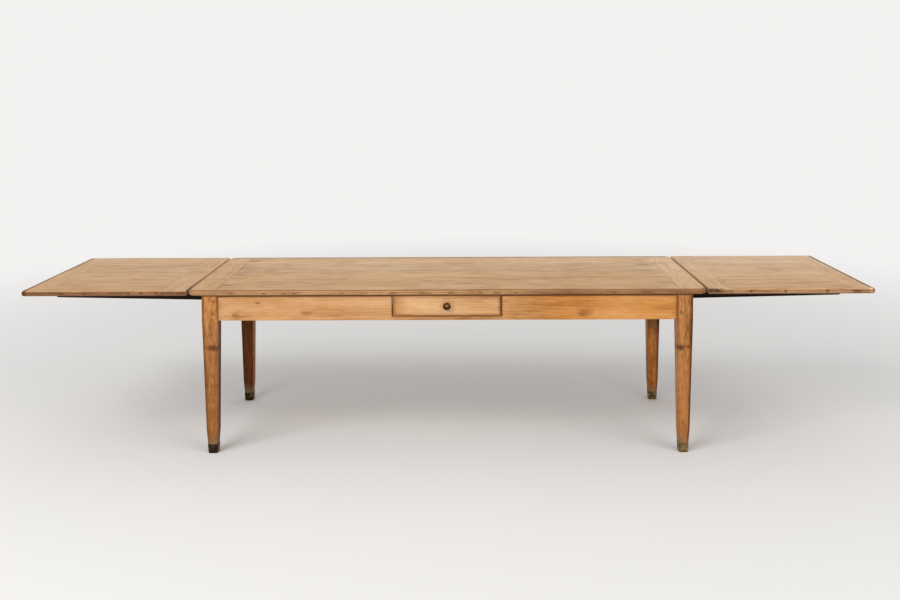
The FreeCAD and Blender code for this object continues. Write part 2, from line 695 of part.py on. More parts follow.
def make_leaf(name, end):
    """Leaf of boards and clamps on two runners, all held by screws from below."""
    last = len(LEAF_BOARD_SHARES) - 1
    clamp_reach = value_of("dim.leaf_inner_x + dim.leaf_clamp_width")
    in_clamp = []
    in_boards = {0: [], last: []}
    for x, y, side in screw_places(end):
        hole = (x, y, "dim.screw_radius + dim.peg_fit", "dim.screw_bite")
        holder = in_clamp if abs(value_of(x)) < clamp_reach else in_boards[0 if side < 0 else last]
        holder.append(hole)
    inner = "dim.leaf_inner_x + dim.leaf_clamp_width"
    outer = "dim.leaf_outer_x - dim.leaf_clamp_width"
    prefix = name + "_leaf"
    make_boards(prefix, lower_of(end, inner, outer), "dim.leaf_length - 2 * dim.leaf_clamp_width",
                LEAF_BOARD_SHARES, "dim.leaf_nosing", "0", in_boards)
    keep(make_clamp(prefix + "_inner_clamp", lower_of(end, "dim.leaf_inner_x", inner), "dim.leaf_clamp_width",
                    "dim.board_thickness", -end, "dim.leaf_nosing", bores=in_clamp))
    keep(make_clamp(prefix + "_outer_clamp", lower_of(end, outer, "dim.leaf_outer_x"), "dim.leaf_clamp_width",
                    "dim.board_thickness", end, "dim.leaf_nosing", "dim.leaf_corner"))
    for side_name, side in SIDES.items():
        make_runner(f"{prefix}_{side_name}_runner", end, side)
    screws = []
    for number, (x, y, side) in enumerate(screw_places(end)):
        label = f"{prefix}_screw_{number + 1}"
        screw = new_body(label, x, y, "dim.frame_top - dim.screw_land - dim.screw_head_height")
        head = screw.newObject("PartDesign::AdditiveCone", label + "_head")
        bind(head, {"Radius1": "dim.screw_head_radius", "Radius2": "dim.screw_radius",
                    "Height": "dim.screw_head_height"})
        cylinder(screw, "Additive", label + "_shank", "dim.screw_radius", "dim.screw_land + dim.screw_bite",
                 ("0", "0", "dim.screw_head_height"))
        screws.append(screw)
    group(prefix + "_screws", screws)


def make_runner(label, end, side):
    """Bearer under a leaf: full depth through the frame, thinner towards its slanted tip, tongued tail."""
    runner = new_body(label, y=lower_of(side, "dim.runner_inner_y", "dim.runner_outer_y"), z="dim.frame_top")
    profile = [
        ("dim.runner_tail_x", "-dim.tail_relief"), ("dim.leaf_inner_x", "-dim.tail_relief"),
        ("dim.leaf_inner_x", "0"), ("dim.runner_tip_x", "0"),
        ("dim.runner_tip_x - dim.runner_tip_slant", "-dim.runner_tip_depth"),
        ("dim.apron_face_x", "-dim.runner_depth"), ("dim.runner_tail_x", "-dim.runner_depth"),
    ]
    outline = [(times(end, x), z) for x, z in profile]
    sketch = polygon(runner, label + "_outline", "XZ_Plane", outline)
    pad(runner, label + "_side", sketch, "dim.runner_thickness", True)
    box(runner, "Additive", label + "_tongue",
        ("dim.runner_tail", "dim.runner_tongue_width", "dim.runner_tongue_height"),
        (lower_of(end, "dim.runner_tail_x", "dim.apron_inner_x"),
         "dim.runner_thickness" if side < 0 else "-dim.runner_tongue_width",
         "-dim.runner_tongue_drop - dim.runner_tongue_height"))
    for number, (x, y, screw_side) in enumerate(screw_places(end)):
        if screw_side == side:
            middle = "dim.runner_thickness / 2"
            cylinder(runner, "Subtractive", f"{label}_hole_{number}", "dim.screw_radius + dim.peg_fit",
                     "dim.runner_depth + dim.overrun", (x, middle, "-dim.runner_depth"))
            cylinder(runner, "Subtractive", f"{label}_counterbore_{number}", "dim.counterbore_radius",
                     "dim.runner_depth - dim.screw_land", (x, middle, "-dim.runner_depth"))
    return keep(runner)


def make_drawer_side(name, end):
    """Side board with dovetails at its front end and a groove for the bottom."""
    label = f"drawer_{name}_side"
    side = new_body(label, lower_of(end, "dim.drawer_inner_half", "dim.drawer_half"),
                    "dim.drawer_front_thickness - dim.apron_face_y", "dim.drawer_floor")
    outline = [
        ("dim.drawer_run", "0"), ("dim.drawer_run", "dim.drawer_side_height"),
        ("0", "dim.drawer_side_height"),
    ]
    for low, high in DOVETAIL_SHARES:
        outline += [
            ("0", f"dim.drawer_side_height * {high}"),
            ("-dim.dovetail_length", f"dim.drawer_side_height * ({high} + {DOVETAIL_FLARE_SHARE})"),
            ("-dim.dovetail_length", f"dim.drawer_side_height * ({low} - {DOVETAIL_FLARE_SHARE})"),
            ("0", f"dim.drawer_side_height * {low}"),
        ]
    outline += [("0", "0")]
    sketch = polygon(side, label + "_outline", "YZ_Plane", outline)
    pad(side, label + "_board", sketch, "dim.drawer_side_thickness")
    box(side, "Subtractive", label + "_groove",
        ("dim.drawer_groove_depth", "dim.drawer_run + dim.drawer_groove_depth + dim.overrun",
         "dim.drawer_bottom_thickness"),
        ("0" if end > 0 else "dim.drawer_side_thickness - dim.drawer_groove_depth",
         "-dim.drawer_groove_depth", "dim.drawer_bottom_rise"))
    return keep(side)


def make_drawer():
    """Dovetailed drawer: front, sides, back and a bottom in grooves."""
    sides = [make_drawer_side(name, end) for name, end in ENDS.items()]
    front = new_body("drawer_front_board", "-dim.drawer_half", "-dim.apron_face_y",
                     "dim.drawer_floor + dim.drawer_gap")
    box(front, "Additive", "drawer_front_blank",
        ("dim.drawer_width", "dim.drawer_front_thickness", "dim.drawer_front_height"))
    fillet(front, "drawer_front_arris", "dim.drawer_front_arris", lambda edge: same(edge.YMax, 0))
    box(front, "Subtractive", "drawer_front_groove",
        ("2 * (dim.drawer_inner_half + dim.drawer_groove_depth)", "dim.drawer_groove_depth + dim.overrun",
         "dim.drawer_bottom_thickness"),
        ("dim.drawer_side_thickness - dim.drawer_groove_depth",
         "dim.drawer_front_thickness - dim.drawer_groove_depth", "dim.drawer_bottom_rise - dim.drawer_gap"))
    cylinder(front, "Subtractive", "drawer_front_stem_hole", "dim.stem_radius + dim.peg_fit",
             "dim.drawer_front_thickness + 2 * dim.overrun",
             ("dim.drawer_half", "-dim.overrun", "dim.drawer_front_height / 2"), TURN_TO_Y[-1])
    cut_by("drawer_front", front, sides)
    back_top = "dim.drawer_side_height - dim.drawer_back_drop"
    back_foot = "dim.drawer_bottom_rise + dim.drawer_bottom_thickness"
    back = new_body("drawer_back", "-dim.drawer_inner_half",
                    "dim.drawer_depth - dim.drawer_back_thickness - dim.apron_face_y",
                    f"dim.drawer_floor + {back_foot}")
    box(back, "Additive", "drawer_back_blank",
        ("2 * dim.drawer_inner_half", "dim.drawer_back_thickness", f"{back_top} - ({back_foot})"))
    keep(back)
    bottom = new_body("drawer_bottom", "-dim.drawer_inner_half - dim.drawer_groove_depth",
                      "dim.drawer_front_thickness - dim.drawer_groove_depth - dim.apron_face_y",
                      "dim.drawer_floor + dim.drawer_bottom_rise")
    box(bottom, "Additive", "drawer_bottom_panel",
        ("2 * (dim.drawer_inner_half + dim.drawer_groove_depth)", "dim.drawer_run + dim.drawer_groove_depth",
         "dim.drawer_bottom_thickness"))
    keep(bottom)


def make_knob():
    """Turned knob on a stem through the drawer front, with a nut inside."""
    middle = "dim.drawer_floor + dim.drawer_gap + dim.drawer_front_height / 2"
    knob = new_body("drawer_knob", "0", "-dim.apron_face_y", middle)
    knob.Placement.Rotation = TURN_TO_Y[1]
    stem_end = "-(dim.drawer_front_thickness + dim.nut_height + dim.stem_tail)"
    outline = [
        ("0", stem_end), ("dim.stem_radius", stem_end), ("dim.stem_radius", "0"),
        ("dim.knob_base_radius", "0"), ("dim.knob_base_radius", "dim.knob_base_height"),
        ("dim.knob_neck_radius", "dim.knob_base_height + dim.knob_round"),
        ("dim.knob_neck_radius", "dim.knob_neck_height"),
        ("dim.knob_radius", "dim.knob_neck_height + dim.knob_round"),
        ("dim.knob_radius", "dim.knob_neck_height + dim.knob_round + dim.knob_rim_height"),
        ("dim.knob_crown_radius", "dim.knob_projection"), ("0", "dim.knob_projection"),
    ]
    turning = knob.newObject("PartDesign::Revolution", "knob_turning")
    turning.Profile = polygon(knob, "knob_outline", "XZ_Plane", outline)
    turning.ReferenceAxis = (turning.Profile[0], ["V_Axis"])
    turning.Angle = 360
    rim = value_of("dim.knob_neck_height + dim.knob_round")
    fillet(knob, "knob_rounding", "dim.knob_round",
           lambda edge: same(edge.ZLength, 0) and edge.ZMin >= rim and not same(edge.XLength, 0))
    keep(knob)
    nut = new_body("knob_nut", "0", "dim.drawer_front_thickness - dim.apron_face_y", middle)
    nut.Placement.Rotation = TURN_TO_Y[-1]
    turns = [f"{60 * number} deg" for number in range(6)]
    corners = [(f"dim.nut_radius * cos({turn})", f"dim.nut_radius * sin({turn})") for turn in turns]
    pad(nut, "nut_hexagon", polygon(nut, "nut_outline", "XY_Plane", corners), "dim.nut_height")
    cylinder(nut, "Subtractive", "nut_bore", "dim.stem_radius + dim.peg_fit",
             "dim.nut_height + 2 * dim.overrun", ("0", "0", "-dim.overrun"))
    keep(nut)


def make_frame():
    for end in ENDS.values():
        for side in SIDES.values():
            leg = make_leg(end, side)
            make_foot_cap(end, side, leg)
    make_joint_pegs()
    make_front_apron()
    make_back_apron()
    for name, end in ENDS.items():
        make_end_apron(name, end)
        make_drawer_bearer(name, end)
    for name, side in SIDES.items():
        make_guide_rail(name, side)
    make_cross_rail()
    make_drawer_stops()


def check_and_write():
    """Nothing is written unless every feature came out and every sub-part is a valid shape."""
    doc.recompute()
    for item in doc.Objects:
        if "Invalid" in item.State or "Error" in item.State:
            raise RuntimeError(f"{item.Label} did not come out: {item.State}")
    for piece in subparts:
        if piece.Shape.isNull() or not piece.Shape.isValid() or not piece.Shape.Solids:
            raise RuntimeError(f"{piece.Label} is not a valid shape")
    os.makedirs("parts", exist_ok=True)
    for piece in subparts:
        piece.Shape.exportStep(f"parts/{piece.Label}.step")


fill_sheet()
make_frame()
make_main_top()
for leaf_name, leaf_end in ENDS.items():
    make_leaf(leaf_name, leaf_end)
make_drawer()
make_knob()
check_and_write()
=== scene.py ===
import math

import bpy
import numpy as np
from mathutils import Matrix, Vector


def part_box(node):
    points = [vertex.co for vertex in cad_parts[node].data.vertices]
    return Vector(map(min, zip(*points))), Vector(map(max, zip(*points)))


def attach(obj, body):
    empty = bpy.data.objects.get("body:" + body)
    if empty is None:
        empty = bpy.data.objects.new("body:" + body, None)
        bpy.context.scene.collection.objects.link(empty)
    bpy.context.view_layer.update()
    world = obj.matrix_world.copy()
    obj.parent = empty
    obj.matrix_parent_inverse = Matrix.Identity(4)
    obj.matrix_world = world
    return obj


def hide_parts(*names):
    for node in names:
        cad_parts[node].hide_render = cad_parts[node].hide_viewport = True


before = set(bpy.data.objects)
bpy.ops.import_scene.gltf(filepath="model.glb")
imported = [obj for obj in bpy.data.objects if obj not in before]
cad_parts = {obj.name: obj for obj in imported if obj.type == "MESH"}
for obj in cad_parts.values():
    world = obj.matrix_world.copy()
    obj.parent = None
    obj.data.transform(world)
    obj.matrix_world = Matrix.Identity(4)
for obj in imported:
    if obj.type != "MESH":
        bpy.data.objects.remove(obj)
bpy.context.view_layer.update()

# Legs. Square posts where the aprons are tenoned into them, tapered below, with the grain upright.
# Old fruitwood under wax: orange brown, streaked, darker along the arrises, from wear and painted shade, and
# towards the feet.
# Painted shade on the left front legs' inner faces; painted light and shade on the back legs' front faces.


class Grain:
    """One socket of a finish's nodes. Sums and products of sockets add the Math nodes that make them."""

    FACTOR, UNDER, OVER, RESULT = 0, 6, 7, 2  # colour sockets of a Mix node

    def __init__(self, tree, socket):
        self.tree = tree
        self.socket = socket

    def node(self, kind, settings=(), inputs=(), output=0):
        """Adds a node: its settings first, then the values or links of its input sockets."""
        made = self.tree.nodes.new("ShaderNode" + kind)
        for name, value in dict(settings).items():
            if name == "stops":
                for _ in range(len(value) - 2):
                    made.color_ramp.elements.new(0.5)
                for stop, (position, colour) in zip(made.color_ramp.elements, value):
                    stop.position = position
                    stop.color = (*colour, 1)
            else:
                setattr(made, name, value)
        for key, value in dict(inputs).items():
            if isinstance(value, Grain):
                self.tree.links.new(value.socket, made.inputs[key])
            else:
                made.inputs[key].default_value = value
        return Grain(self.tree, made.outputs[output])

    def math(self, operation, first, second=0.0):
        return self.node("Math", {"operation": operation}, {0: first, 1: second})

    def __add__(self, other):
        return self.math("ADD", self, other)

    def __sub__(self, other):
        return self.math("SUBTRACT", self, other)

    def __rsub__(self, other):
        return self.math("SUBTRACT", other, self)

    def __mul__(self, other):
        return self.math("MULTIPLY", self, other)

    def __truediv__(self, other):
        return self.math("DIVIDE", self, other)

    def __pow__(self, other):
        return self.math("POWER", self, other)

    def __abs__(self):
        return self.math("ABSOLUTE", self)

    __radd__ = __add__
    __rmul__ = __mul__

    def most(self, other):
        return self.math("MAXIMUM", self, other)

    def least(self, other):
        return self.math("MINIMUM", self, other)

    def rise(self, low, high):
        """0 below low, 1 above high, a smooth step between."""
        return self.node("MapRange", {"interpolation_type": "SMOOTHSTEP"},
                         {"Value": self, "From Min": low, "From Max": high})

    def near(self, place, half):
        """1 at the place, fading to 0 at half the width on either side of it."""
        return 1 - abs(self - place).rise(0, half)

    def axes(self):
        return [self.node("SeparateXYZ", (), {0: self}, index) for index in range(3)]

    def noise(self, scales, detail=2.0):
        """Noise of a place, with its own scale along each of the three axes."""
        drawn_out = self.node("VectorMath", {"operation": "MULTIPLY"}, {0: self, 1: scales})
        return self.node("TexNoise", (), {"Vector": drawn_out, "Scale": 1.0, "Detail": detail})

    def tint(self, under, over, blend="MIX"):
        """The colour under where this is 0, and the colour over, or their blend, where it is 1."""
        return self.node("Mix", {"data_type": "RGBA", "blend_type": blend},
                         {self.FACTOR: self, self.UNDER: under, self.OVER: over}, self.RESULT)

    def stain(self, under, over):
        """The colour under, multiplied by the colour over where this is 1."""
        return self.tint(under, over, "MULTIPLY")


def new_finish(name):
    """An empty finish: its material, its shader and the place on the piece, in metres."""
    finish = bpy.data.materials.new(name)
    finish.use_nodes = True
    tree = finish.node_tree
    shader = tree.nodes["Principled BSDF"]
    place = Grain(tree, tree.nodes.new("ShaderNodeTexCoord").outputs["Object"])
    return finish, shader, place


# Stain colours; they also paint shade under the top, in gaps and lines, and in the quirk.
DIRT_AND_SHADE = (0.055, 0.021, 0.006, 1)
WAX_AND_SHADE = (0.16, 0.05, 0.009, 1)
BROWN_AND_SHADE = (0.55, 0.42, 0.33, 1)


def no_marks(colour, x, y, z, place):
    """A plain piece: its colour as it is, and no dirt."""
    return colour, x * 0.0


def waxed_wood(name, along, tones, seed, heart, ring=0.006, streak=(5.0, 34.0), fleck=(16.0, 130.0),
               figure=(0.35, 0.8, 0.75, 0.5), marks=no_marks, rough=0.5, shine=0.32, end_grain=0.7):
    """Wood with its grain along one axis, from its pale, middle and deep tones.

    Rings: the fraction of the distance from a wavering heart line over the ring width, cubed for late wood.
    Bands, streaks, flecks, fibres and pores: noises drawn out along the grain, each finer than the last;
    figure says how far bands, streaks, flecks and clouds change the tone, and end_grain browns cut ends.
    marks(colour, x, y, z, place) paints a piece's stains and painted shade, and gives a mask of grime and
    shade.
    """
    finish, shader, place = new_finish(name)
    x, y, z = place.axes()
    run, side, thick = {"X": (x, y, z), "Y": (y, x, z), "Z": (z, x, y)}[along]
    log = (1.7 * seed, 0.9 * seed, 1.3 * seed)
    sway = 0.03
    in_log = place.node("CombineXYZ", (), {0: run + log[0], 1: side + log[1], 2: thick + log[2]})
    wander = (in_log.noise((1.1, 4.0, 4.0)) - 0.5) * sway
    climb = (in_log.noise((0.7, 1.1, 1.1), 1.0) - 0.5) * sway
    across = side + wander - heart[0]
    below = thick + climb - heart[1]
    turns = (across * across + below * below) ** 0.5 / ring
    late = turns.math("FRACT", turns) ** 3.0
    bent = place.node("CombineXYZ", (), {0: run + log[0], 1: side + wander + log[1],
                                         2: thick + climb + log[2]})
    broad = bent.noise((0.7, 9.0, 9.0)) - 0.5
    streaks = bent.noise((streak[0], streak[1], streak[1]), 3.0) - 0.5
    flecks = bent.noise((fleck[0], fleck[1], fleck[1]), 3.0) - 0.5
    fibres = bent.noise((14.0, 700.0, 700.0)) - 0.5
    pores = bent.noise((90.0, 2300.0, 2300.0), 1.0).rise(0.6, 0.76)
    cloud = place.noise((2.3, 2.3, 2.3), 3.0) - 0.5
    by_band, by_streak, by_fleck, by_cloud = figure
    tone = 0.57 + broad * by_band + streaks * by_streak + flecks * by_fleck + cloud * by_cloud
    tone = tone + fibres * 0.4 - late * 0.14
    pale, middle, deep = tones
    colour = tone.node("ValToRGB", {"stops": ((0.18, deep), (0.52, middle), (0.86, pale))}, {0: tone})
    in_pores = (0.5, 0.4, 0.34, 1)
    colour = (pores * 0.45).stain(colour, in_pores)
    facing = tone.node("TexCoord", (), (), "Normal").axes()["XYZ".index(along)]
    colour = (abs(facing).rise(0.7, 0.95) * end_grain).stain(colour, BROWN_AND_SHADE)
    colour, dirt_and_shade = marks(colour, x, y, z, place)
    dirt_and_shade = dirt_and_shade.least(1.0)
    # The mask darkens dirt and, on some pieces, painted shade; it also roughens and sinks the surface.
    colour = dirt_and_shade.tint(colour, DIRT_AND_SHADE)
    rub = place.noise((7.0, 7.0, 7.0), 3.0) - 0.5
    height = fibres * 0.5 + flecks * 0.25 - pores * 0.8 - late * 0.2 - dirt_and_shade * 0.8
    relief = height.node("Bump", (), {"Height": height, "Strength": 0.4, "Distance": 0.0005})
    matt = rough + rub * 0.3 - streaks * 0.15 + dirt_and_shade * 0.2
    shader.inputs["Specular IOR Level"].default_value = shine
    for socket, value in (("Base Color", colour), ("Roughness", matt), ("Normal", relief)):
        finish.node_tree.links.new(value.socket, shader.inputs[socket])
    return finish


def cover(finish, *names):
    """Puts the finish on CAD nodes that are shown as they are."""
    for name in names:
        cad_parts[name].material_slots[0].material = finish


corners = [f"{side}_{end}" for side in ("front", "back") for end in ("left", "right")]
leg_low, leg_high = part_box("front_right_leg")
leg_x = (leg_low.x + leg_high.x) / 2
leg_y = -(leg_low.y + leg_high.y) / 2
leg_half = (leg_high.x - leg_low.x) / 2
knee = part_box("front_apron")[0].z
ankle = 0.11
ankle_half = 0.0265
foot_half = 0.02
cap_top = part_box("front_right_foot_cap")[1].z
shoulder_x = leg_x - leg_half
shoulder_y = leg_y - leg_half
frame_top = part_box("front_apron")[1].z
peg_inset = 0.02
peg_rim = 0.006
peg_levels = ((frame_top - 0.026, 0.55), (frame_top - 0.086, 0.9))
leg_tones = ((0.5, 0.232, 0.072), (0.37, 0.149, 0.039), (0.19, 0.064, 0.014))
pale_head = (1.24, 1.3, 1.45, 1)
left_legs = (0.76, 0.72, 0.66, 1)
low_wood = (0.84, 0.7, 0.54, 1)
outer_arris_shade = (0.48, 0.43, 0.38, 1)
inner_face_shade = (0.26, 0.15, 0.06, 1)
# Painted light on the back legs' front faces, painted shade on the left one and on the right one's head.
back_legs_painted_light = (1.5, 1.4, 1.2, 1)
back_left = (0.27, 0.2, 0.1, 1)
back_right_head_shade = (0.45, 0.44, 0.46, 1)
above_cap = (0.2, 0.15, 0.075, 1)
leg_knots = (((0.012 - leg_x, 0.492), 0.05, 0.4, 0.8), ((leg_x - 0.019, 0.49), 0.03, 0.7, 1.0),
             ((leg_x + 0.014, 0.495), 0.014, 0.8, 0.6))
# Widths of the dark joint lines and of the painted shadow under the top.
joint_and_shade_width = 0.009
shade_under_top = (frame_top - joint_and_shade_width, frame_top - 0.003)


def first_half(axis):
    """1 on the table's left half along x, or its front half along y, and 0 on the other."""
    return 1 - axis.rise(-0.1, 0.1)


def knots(x, z, places):
    """Dark eyes, added up: each has its place, half width, flatness and depth.

    An eye has its depth at the place and fades out over the half width, and over its flat share up and down.
    """
    eyes = x * 0.0
    for (eye_x, eye_z), half, flat, depth in places:
        far_x = (x - eye_x) / half
        far_z = (z - eye_z) / (half * flat)
        eyes = eyes + (1 - ((far_x * far_x + far_z * far_z) ** 0.5).rise(0.1, 1.0)) * depth
    return eyes


def leg_marks(colour, x, y, z, place):
    """Paler at the top, brown and painted shade along the outer arrises, brown low down, grey above the cap,
    left legs deeper.

    An arris is where both distances from the leg's axis near its half width, which falls towards the foot.
    Dirt: a knot across each front leg, bruises, and rings round the pegs; old wax at the shoulders.
    """
    taper = ((z - ankle) / (knee - ankle)).least(1.0)
    above_ankle = (leg_half - ankle_half) * taper + ankle_half
    half = above_ankle.least((ankle_half - foot_half) * z / ankle + foot_half)
    out_x = (abs(x) - leg_x) / half
    out_y = (abs(y) - leg_y) / half
    arris = abs(out_x).least(abs(out_y))
    outer = out_x.rise(-0.4, 0.4)
    rubbed = place.noise((9.0, 9.0, 3.0), 3.0).rise(0.3, 0.6)
    left = first_half(x)
    front = first_half(y)
    inner_x = 1 - out_x.rise(-1.0, -0.9)
    inner_y = (1 - out_y.rise(-1.0, -0.9)) * (1 - front)
    low = 1 - z.rise(0.05, 0.5)
    high = z.rise(0.54, 0.66)
    colour = (high * front).stain(colour, pale_head)
    colour = (left * 0.5 * (1 - high)).stain(colour, left_legs)
    colour = (low * 0.8).stain(colour, low_wood)
    colour = (arris.rise(0.5, 0.95) * (0.4 + rubbed * 0.6) * (0.2 + outer * 0.8)).stain(colour, BROWN_AND_SHADE)
    # Painted shade along the outer arrises, weaker on the left legs.
    colour = (arris.rise(0.38, 0.85) * outer * (1 - left * 0.6)).stain(colour, outer_arris_shade)
    # Painted shade on the inner side faces of the left front legs.
    shaded = inner_x * (1 - out_y.rise(0.2, 0.8)) * front * left
    colour = shaded.stain(colour, inner_face_shade)
    # Painted light on the back legs' front faces; painted shade over all of the left one and the right one's
    # upper part.
    colour = inner_y.stain(colour, back_legs_painted_light)
    colour = (inner_y * left).stain(colour, back_left)
    colour = (inner_y * (1 - left) * z.rise(0.32, 0.43)).stain(colour, back_right_head_shade)
    colour = ((1 - z.rise(cap_top, cap_top + 0.06)) * 0.55).tint(colour, above_cap)
    eyes = knots(x, z, leg_knots).least(1.0) * front
    ragged = place.noise((60.0, 60.0, 90.0), 3.0).rise(0.2, 0.58)
    bruise = place.noise((70.0, 70.0, 30.0), 3.0).rise(0.62, 0.76)
    colour = eyes.most(bruise * 0.6).stain(colour, BROWN_AND_SHADE)
    shoulder = abs(abs(x) - leg_x).near(leg_half, 0.006) * z.rise(knee - 0.002, knee + 0.002)
    # Old wax in the shoulder joints, and a painted shadow just under the top.
    colour = (shoulder.most(z.rise(*shade_under_top)) * 0.7).tint(colour, WAX_AND_SHADE)
    ring = x * 0.0
    for level, dark in peg_levels:
        rise = z - level
        for away in (abs(x) - (shoulder_x + peg_inset), abs(y) - (shoulder_y + peg_inset)):
            far = (away * away + rise * rise) ** 0.5
            ring = ring.most(far.near(peg_rim, 0.003) * dark)
    return colour, eyes * ragged * 0.75 + bruise * 0.1 + ring * (1 - left * 0.7)


leg_wood = waxed_wood("leg_wood", "Z", leg_tones, 1.0, heart=(1.0, 0.28), ring=0.005, streak=(5.0, 60.0),
                      fleck=(34.0, 150.0), figure=(0.5, 0.75, 1.1, 0.7), marks=leg_marks, shine=0.15)
cover(leg_wood, *(corner + "_leg" for corner in corners))


# Foot caps. Sheet brass shoes folded round the legs' ends, held by their tight fit on the taper.
# Tarnished, the left ones nearly black with painted shade, the right ones rubbed back to dull brass and
# painted lighter.


def tarnished(name, dark, rubbed, low, high, rough, scale=38.0, shine=0.5):
    """Metal whose dark tarnish is worn through to the rubbed colour where a noise passes from low to high."""
    finish, shader, place = new_finish(name)
    worn = place.noise((scale, scale, scale), 4.0).rise(low, high)
    pits = place.noise((420.0, 420.0, 420.0), 2.0) - 0.5
    relief = pits.node("Bump", (), {"Height": pits, "Strength": 0.3, "Distance": 0.0004})
    shader.inputs["Metallic"].default_value = 0.8
    shader.inputs["Specular IOR Level"].default_value = shine
    for socket, value in (("Base Color", worn.tint((*dark, 1), (*rubbed, 1))),
                          ("Roughness", rough + pits * 0.3 - worn * 0.12), ("Normal", relief)):
        finish.node_tree.links.new(value.socket, shader.inputs[socket])
    return finish


# The left caps' darker brass is painted shade; the right caps' brighter brass is partly painted light.
foot_brass = tarnished("foot_brass", (0.02, 0.011, 0.005), (0.2, 0.12, 0.04), 0.48, 0.78, 0.48)
cover(foot_brass, "front_left_foot_cap", "back_left_foot_cap")
lit_worn_brass = tarnished("lit_worn_brass", (0.05, 0.034, 0.017), (0.3, 0.2, 0.085), 0.3, 0.62, 0.48)
cover(lit_worn_brass, "front_right_foot_cap", "back_right_foot_cap")


# Aprons. Boards on edge between the legs, tenoned and pegged; the front one is cut out for the drawer.
# Honey coloured, more orange to the right, with small knots, dark lines at the shoulders and painted shade
# under the top.

drawer_gap = 0.0025
opening_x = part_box("drawer_front")[1].x + drawer_gap
opening_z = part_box("drawer_front")[0].z - drawer_gap
apron_tones = ((0.675, 0.395, 0.194), (0.55, 0.28, 0.109), (0.35, 0.145, 0.041))
orange_wax = (1.0, 0.8, 0.46, 1)
apron_knots = (((-0.86, 0.7), 0.02, 0.42, 1.0), ((0.625, 0.648), 0.055, 0.5, 0.8))
knot_cores = (((-0.86, 0.7), 0.009, 0.42, 1.0), ((0.61, 0.643), 0.02, 0.5, 0.6))
apron_smudges = (((-0.96, 0.645), 0.085, 0.4, 1.0), ((-0.63, 0.65), 0.09, 0.3, 0.7))


def apron_marks(colour, x, y, z, place):
    """Orange to the right, brown specks and knots, painted shade under the top and round the opening."""
    # dusk: painted shade under the top, with dirt near the shoulders.
    dusk = z.rise(frame_top - 0.02, frame_top).most(abs(x).rise(shoulder_x - 0.03, shoulder_x) * 0.6)
    specks = place.noise((22.0, 90.0, 75.0), 3.0).rise(0.66, 0.8)
    blush = place.noise((3.0, 3.0, 16.0), 2.0)
    colour = (x.rise(0.25, 0.55) * (0.5 + blush * 0.8)).stain(colour, orange_wax)
    colour = (dusk * 0.6).stain(colour, BROWN_AND_SHADE)
    colour = (specks * 0.6).stain(colour, BROWN_AND_SHADE)
    smudge = knots(x, z, apron_smudges) * place.noise((30.0, 30.0, 60.0), 3.0).rise(0.35, 0.65)
    colour = (knots(x, z, apron_knots) + smudge * 0.9).least(0.8).stain(colour, BROWN_AND_SHADE)
    # Painted shade in the opening's jambs and sill and under the top; old wax in the shoulder lines.
    jamb = abs(x).near(opening_x, 0.008) * z.rise(opening_z - 0.004, opening_z + 0.004)
    sill = z.near(opening_z, 0.006) * (1 - abs(x).rise(opening_x, opening_x + 0.008)) * 0.5
    lines = z.rise(*shade_under_top).most(abs(x).rise(shoulder_x - joint_and_shade_width, shoulder_x - 0.002))
    lines = lines.most(jamb.most(sill) * first_half(y)) * 0.75
    shadow = z.rise(frame_top - joint_and_shade_width, frame_top - 0.004)
    colour = lines.most(shadow).tint(colour, WAX_AND_SHADE)
    return colour, knots(x, z, knot_cores) * 0.5 + shadow * 0.35


apron_wood = waxed_wood("apron_wood", "X", apron_tones, 2.0, heart=(0.1, 0.35), ring=0.008,
                        streak=(3.0, 26.0), figure=(0.9, 0.65, 0.5, 0.9), marks=apron_marks, shine=0.16)
cover(apron_wood, "front_apron", "back_apron")
end_apron_tones = ((0.68, 0.385, 0.165), (0.55, 0.265, 0.092), (0.35, 0.135, 0.036))


def end_apron_marks(colour, x, y, z, place):
    """Brown specks, painted shade under the top, and old wax at the shoulders."""
    specks = place.noise((90.0, 22.0, 75.0), 3.0).rise(0.66, 0.8)
    lines = z.rise(*shade_under_top).most(abs(y).rise(shoulder_y - joint_and_shade_width, shoulder_y - 0.002))
    # Painted shade under the top.
    colour = (z.rise(frame_top - 0.02, frame_top) * 0.6).stain(colour, BROWN_AND_SHADE)
    colour = (specks * 0.6).stain(colour, BROWN_AND_SHADE)
    shadow = z.rise(frame_top - joint_and_shade_width, frame_top - 0.004)
    return (lines * 0.75).most(shadow).tint(colour, WAX_AND_SHADE), shadow * 0.35


end_apron_wood = waxed_wood("end_apron_wood", "Y", end_apron_tones, 3.0, heart=(0.9, 0.35), ring=0.008,
                            streak=(3.0, 26.0), figure=(0.9, 0.8, 0.5, 0.9), marks=end_apron_marks,
                            shine=0.16)
cover(end_apron_wood, "left_end_apron", "right_end_apron")


# Joint pegs. Riven pins driven through the legs and the aprons' tenons, their ends a little proud.
# Of the legs' wood; two more, longer, stand under the loose top and keep it in place.

peg_tones = ((0.52, 0.25, 0.08), (0.42, 0.185, 0.05), (0.26, 0.1, 0.024))
left_pegs = (0.7, 0.66, 0.6, 1)


def peg_marks(colour, x, y, z, place):
    """Darker in the left legs."""
    return (first_half(x) * 0.8).stain(colour, left_pegs), x * 0.0


peg_wood = waxed_wood("peg_wood", "Z", peg_tones, 4.0, heart=(0.9, 0.3), marks=peg_marks, shine=0.15)
cover(peg_wood, "joint_pegs", "top_guide_pegs")


# Rails inside the frame: grooved guide rails, the cross rail between them, the drawer's runners and stops.
# Bare planed wood that has never been waxed, dull and dusty.

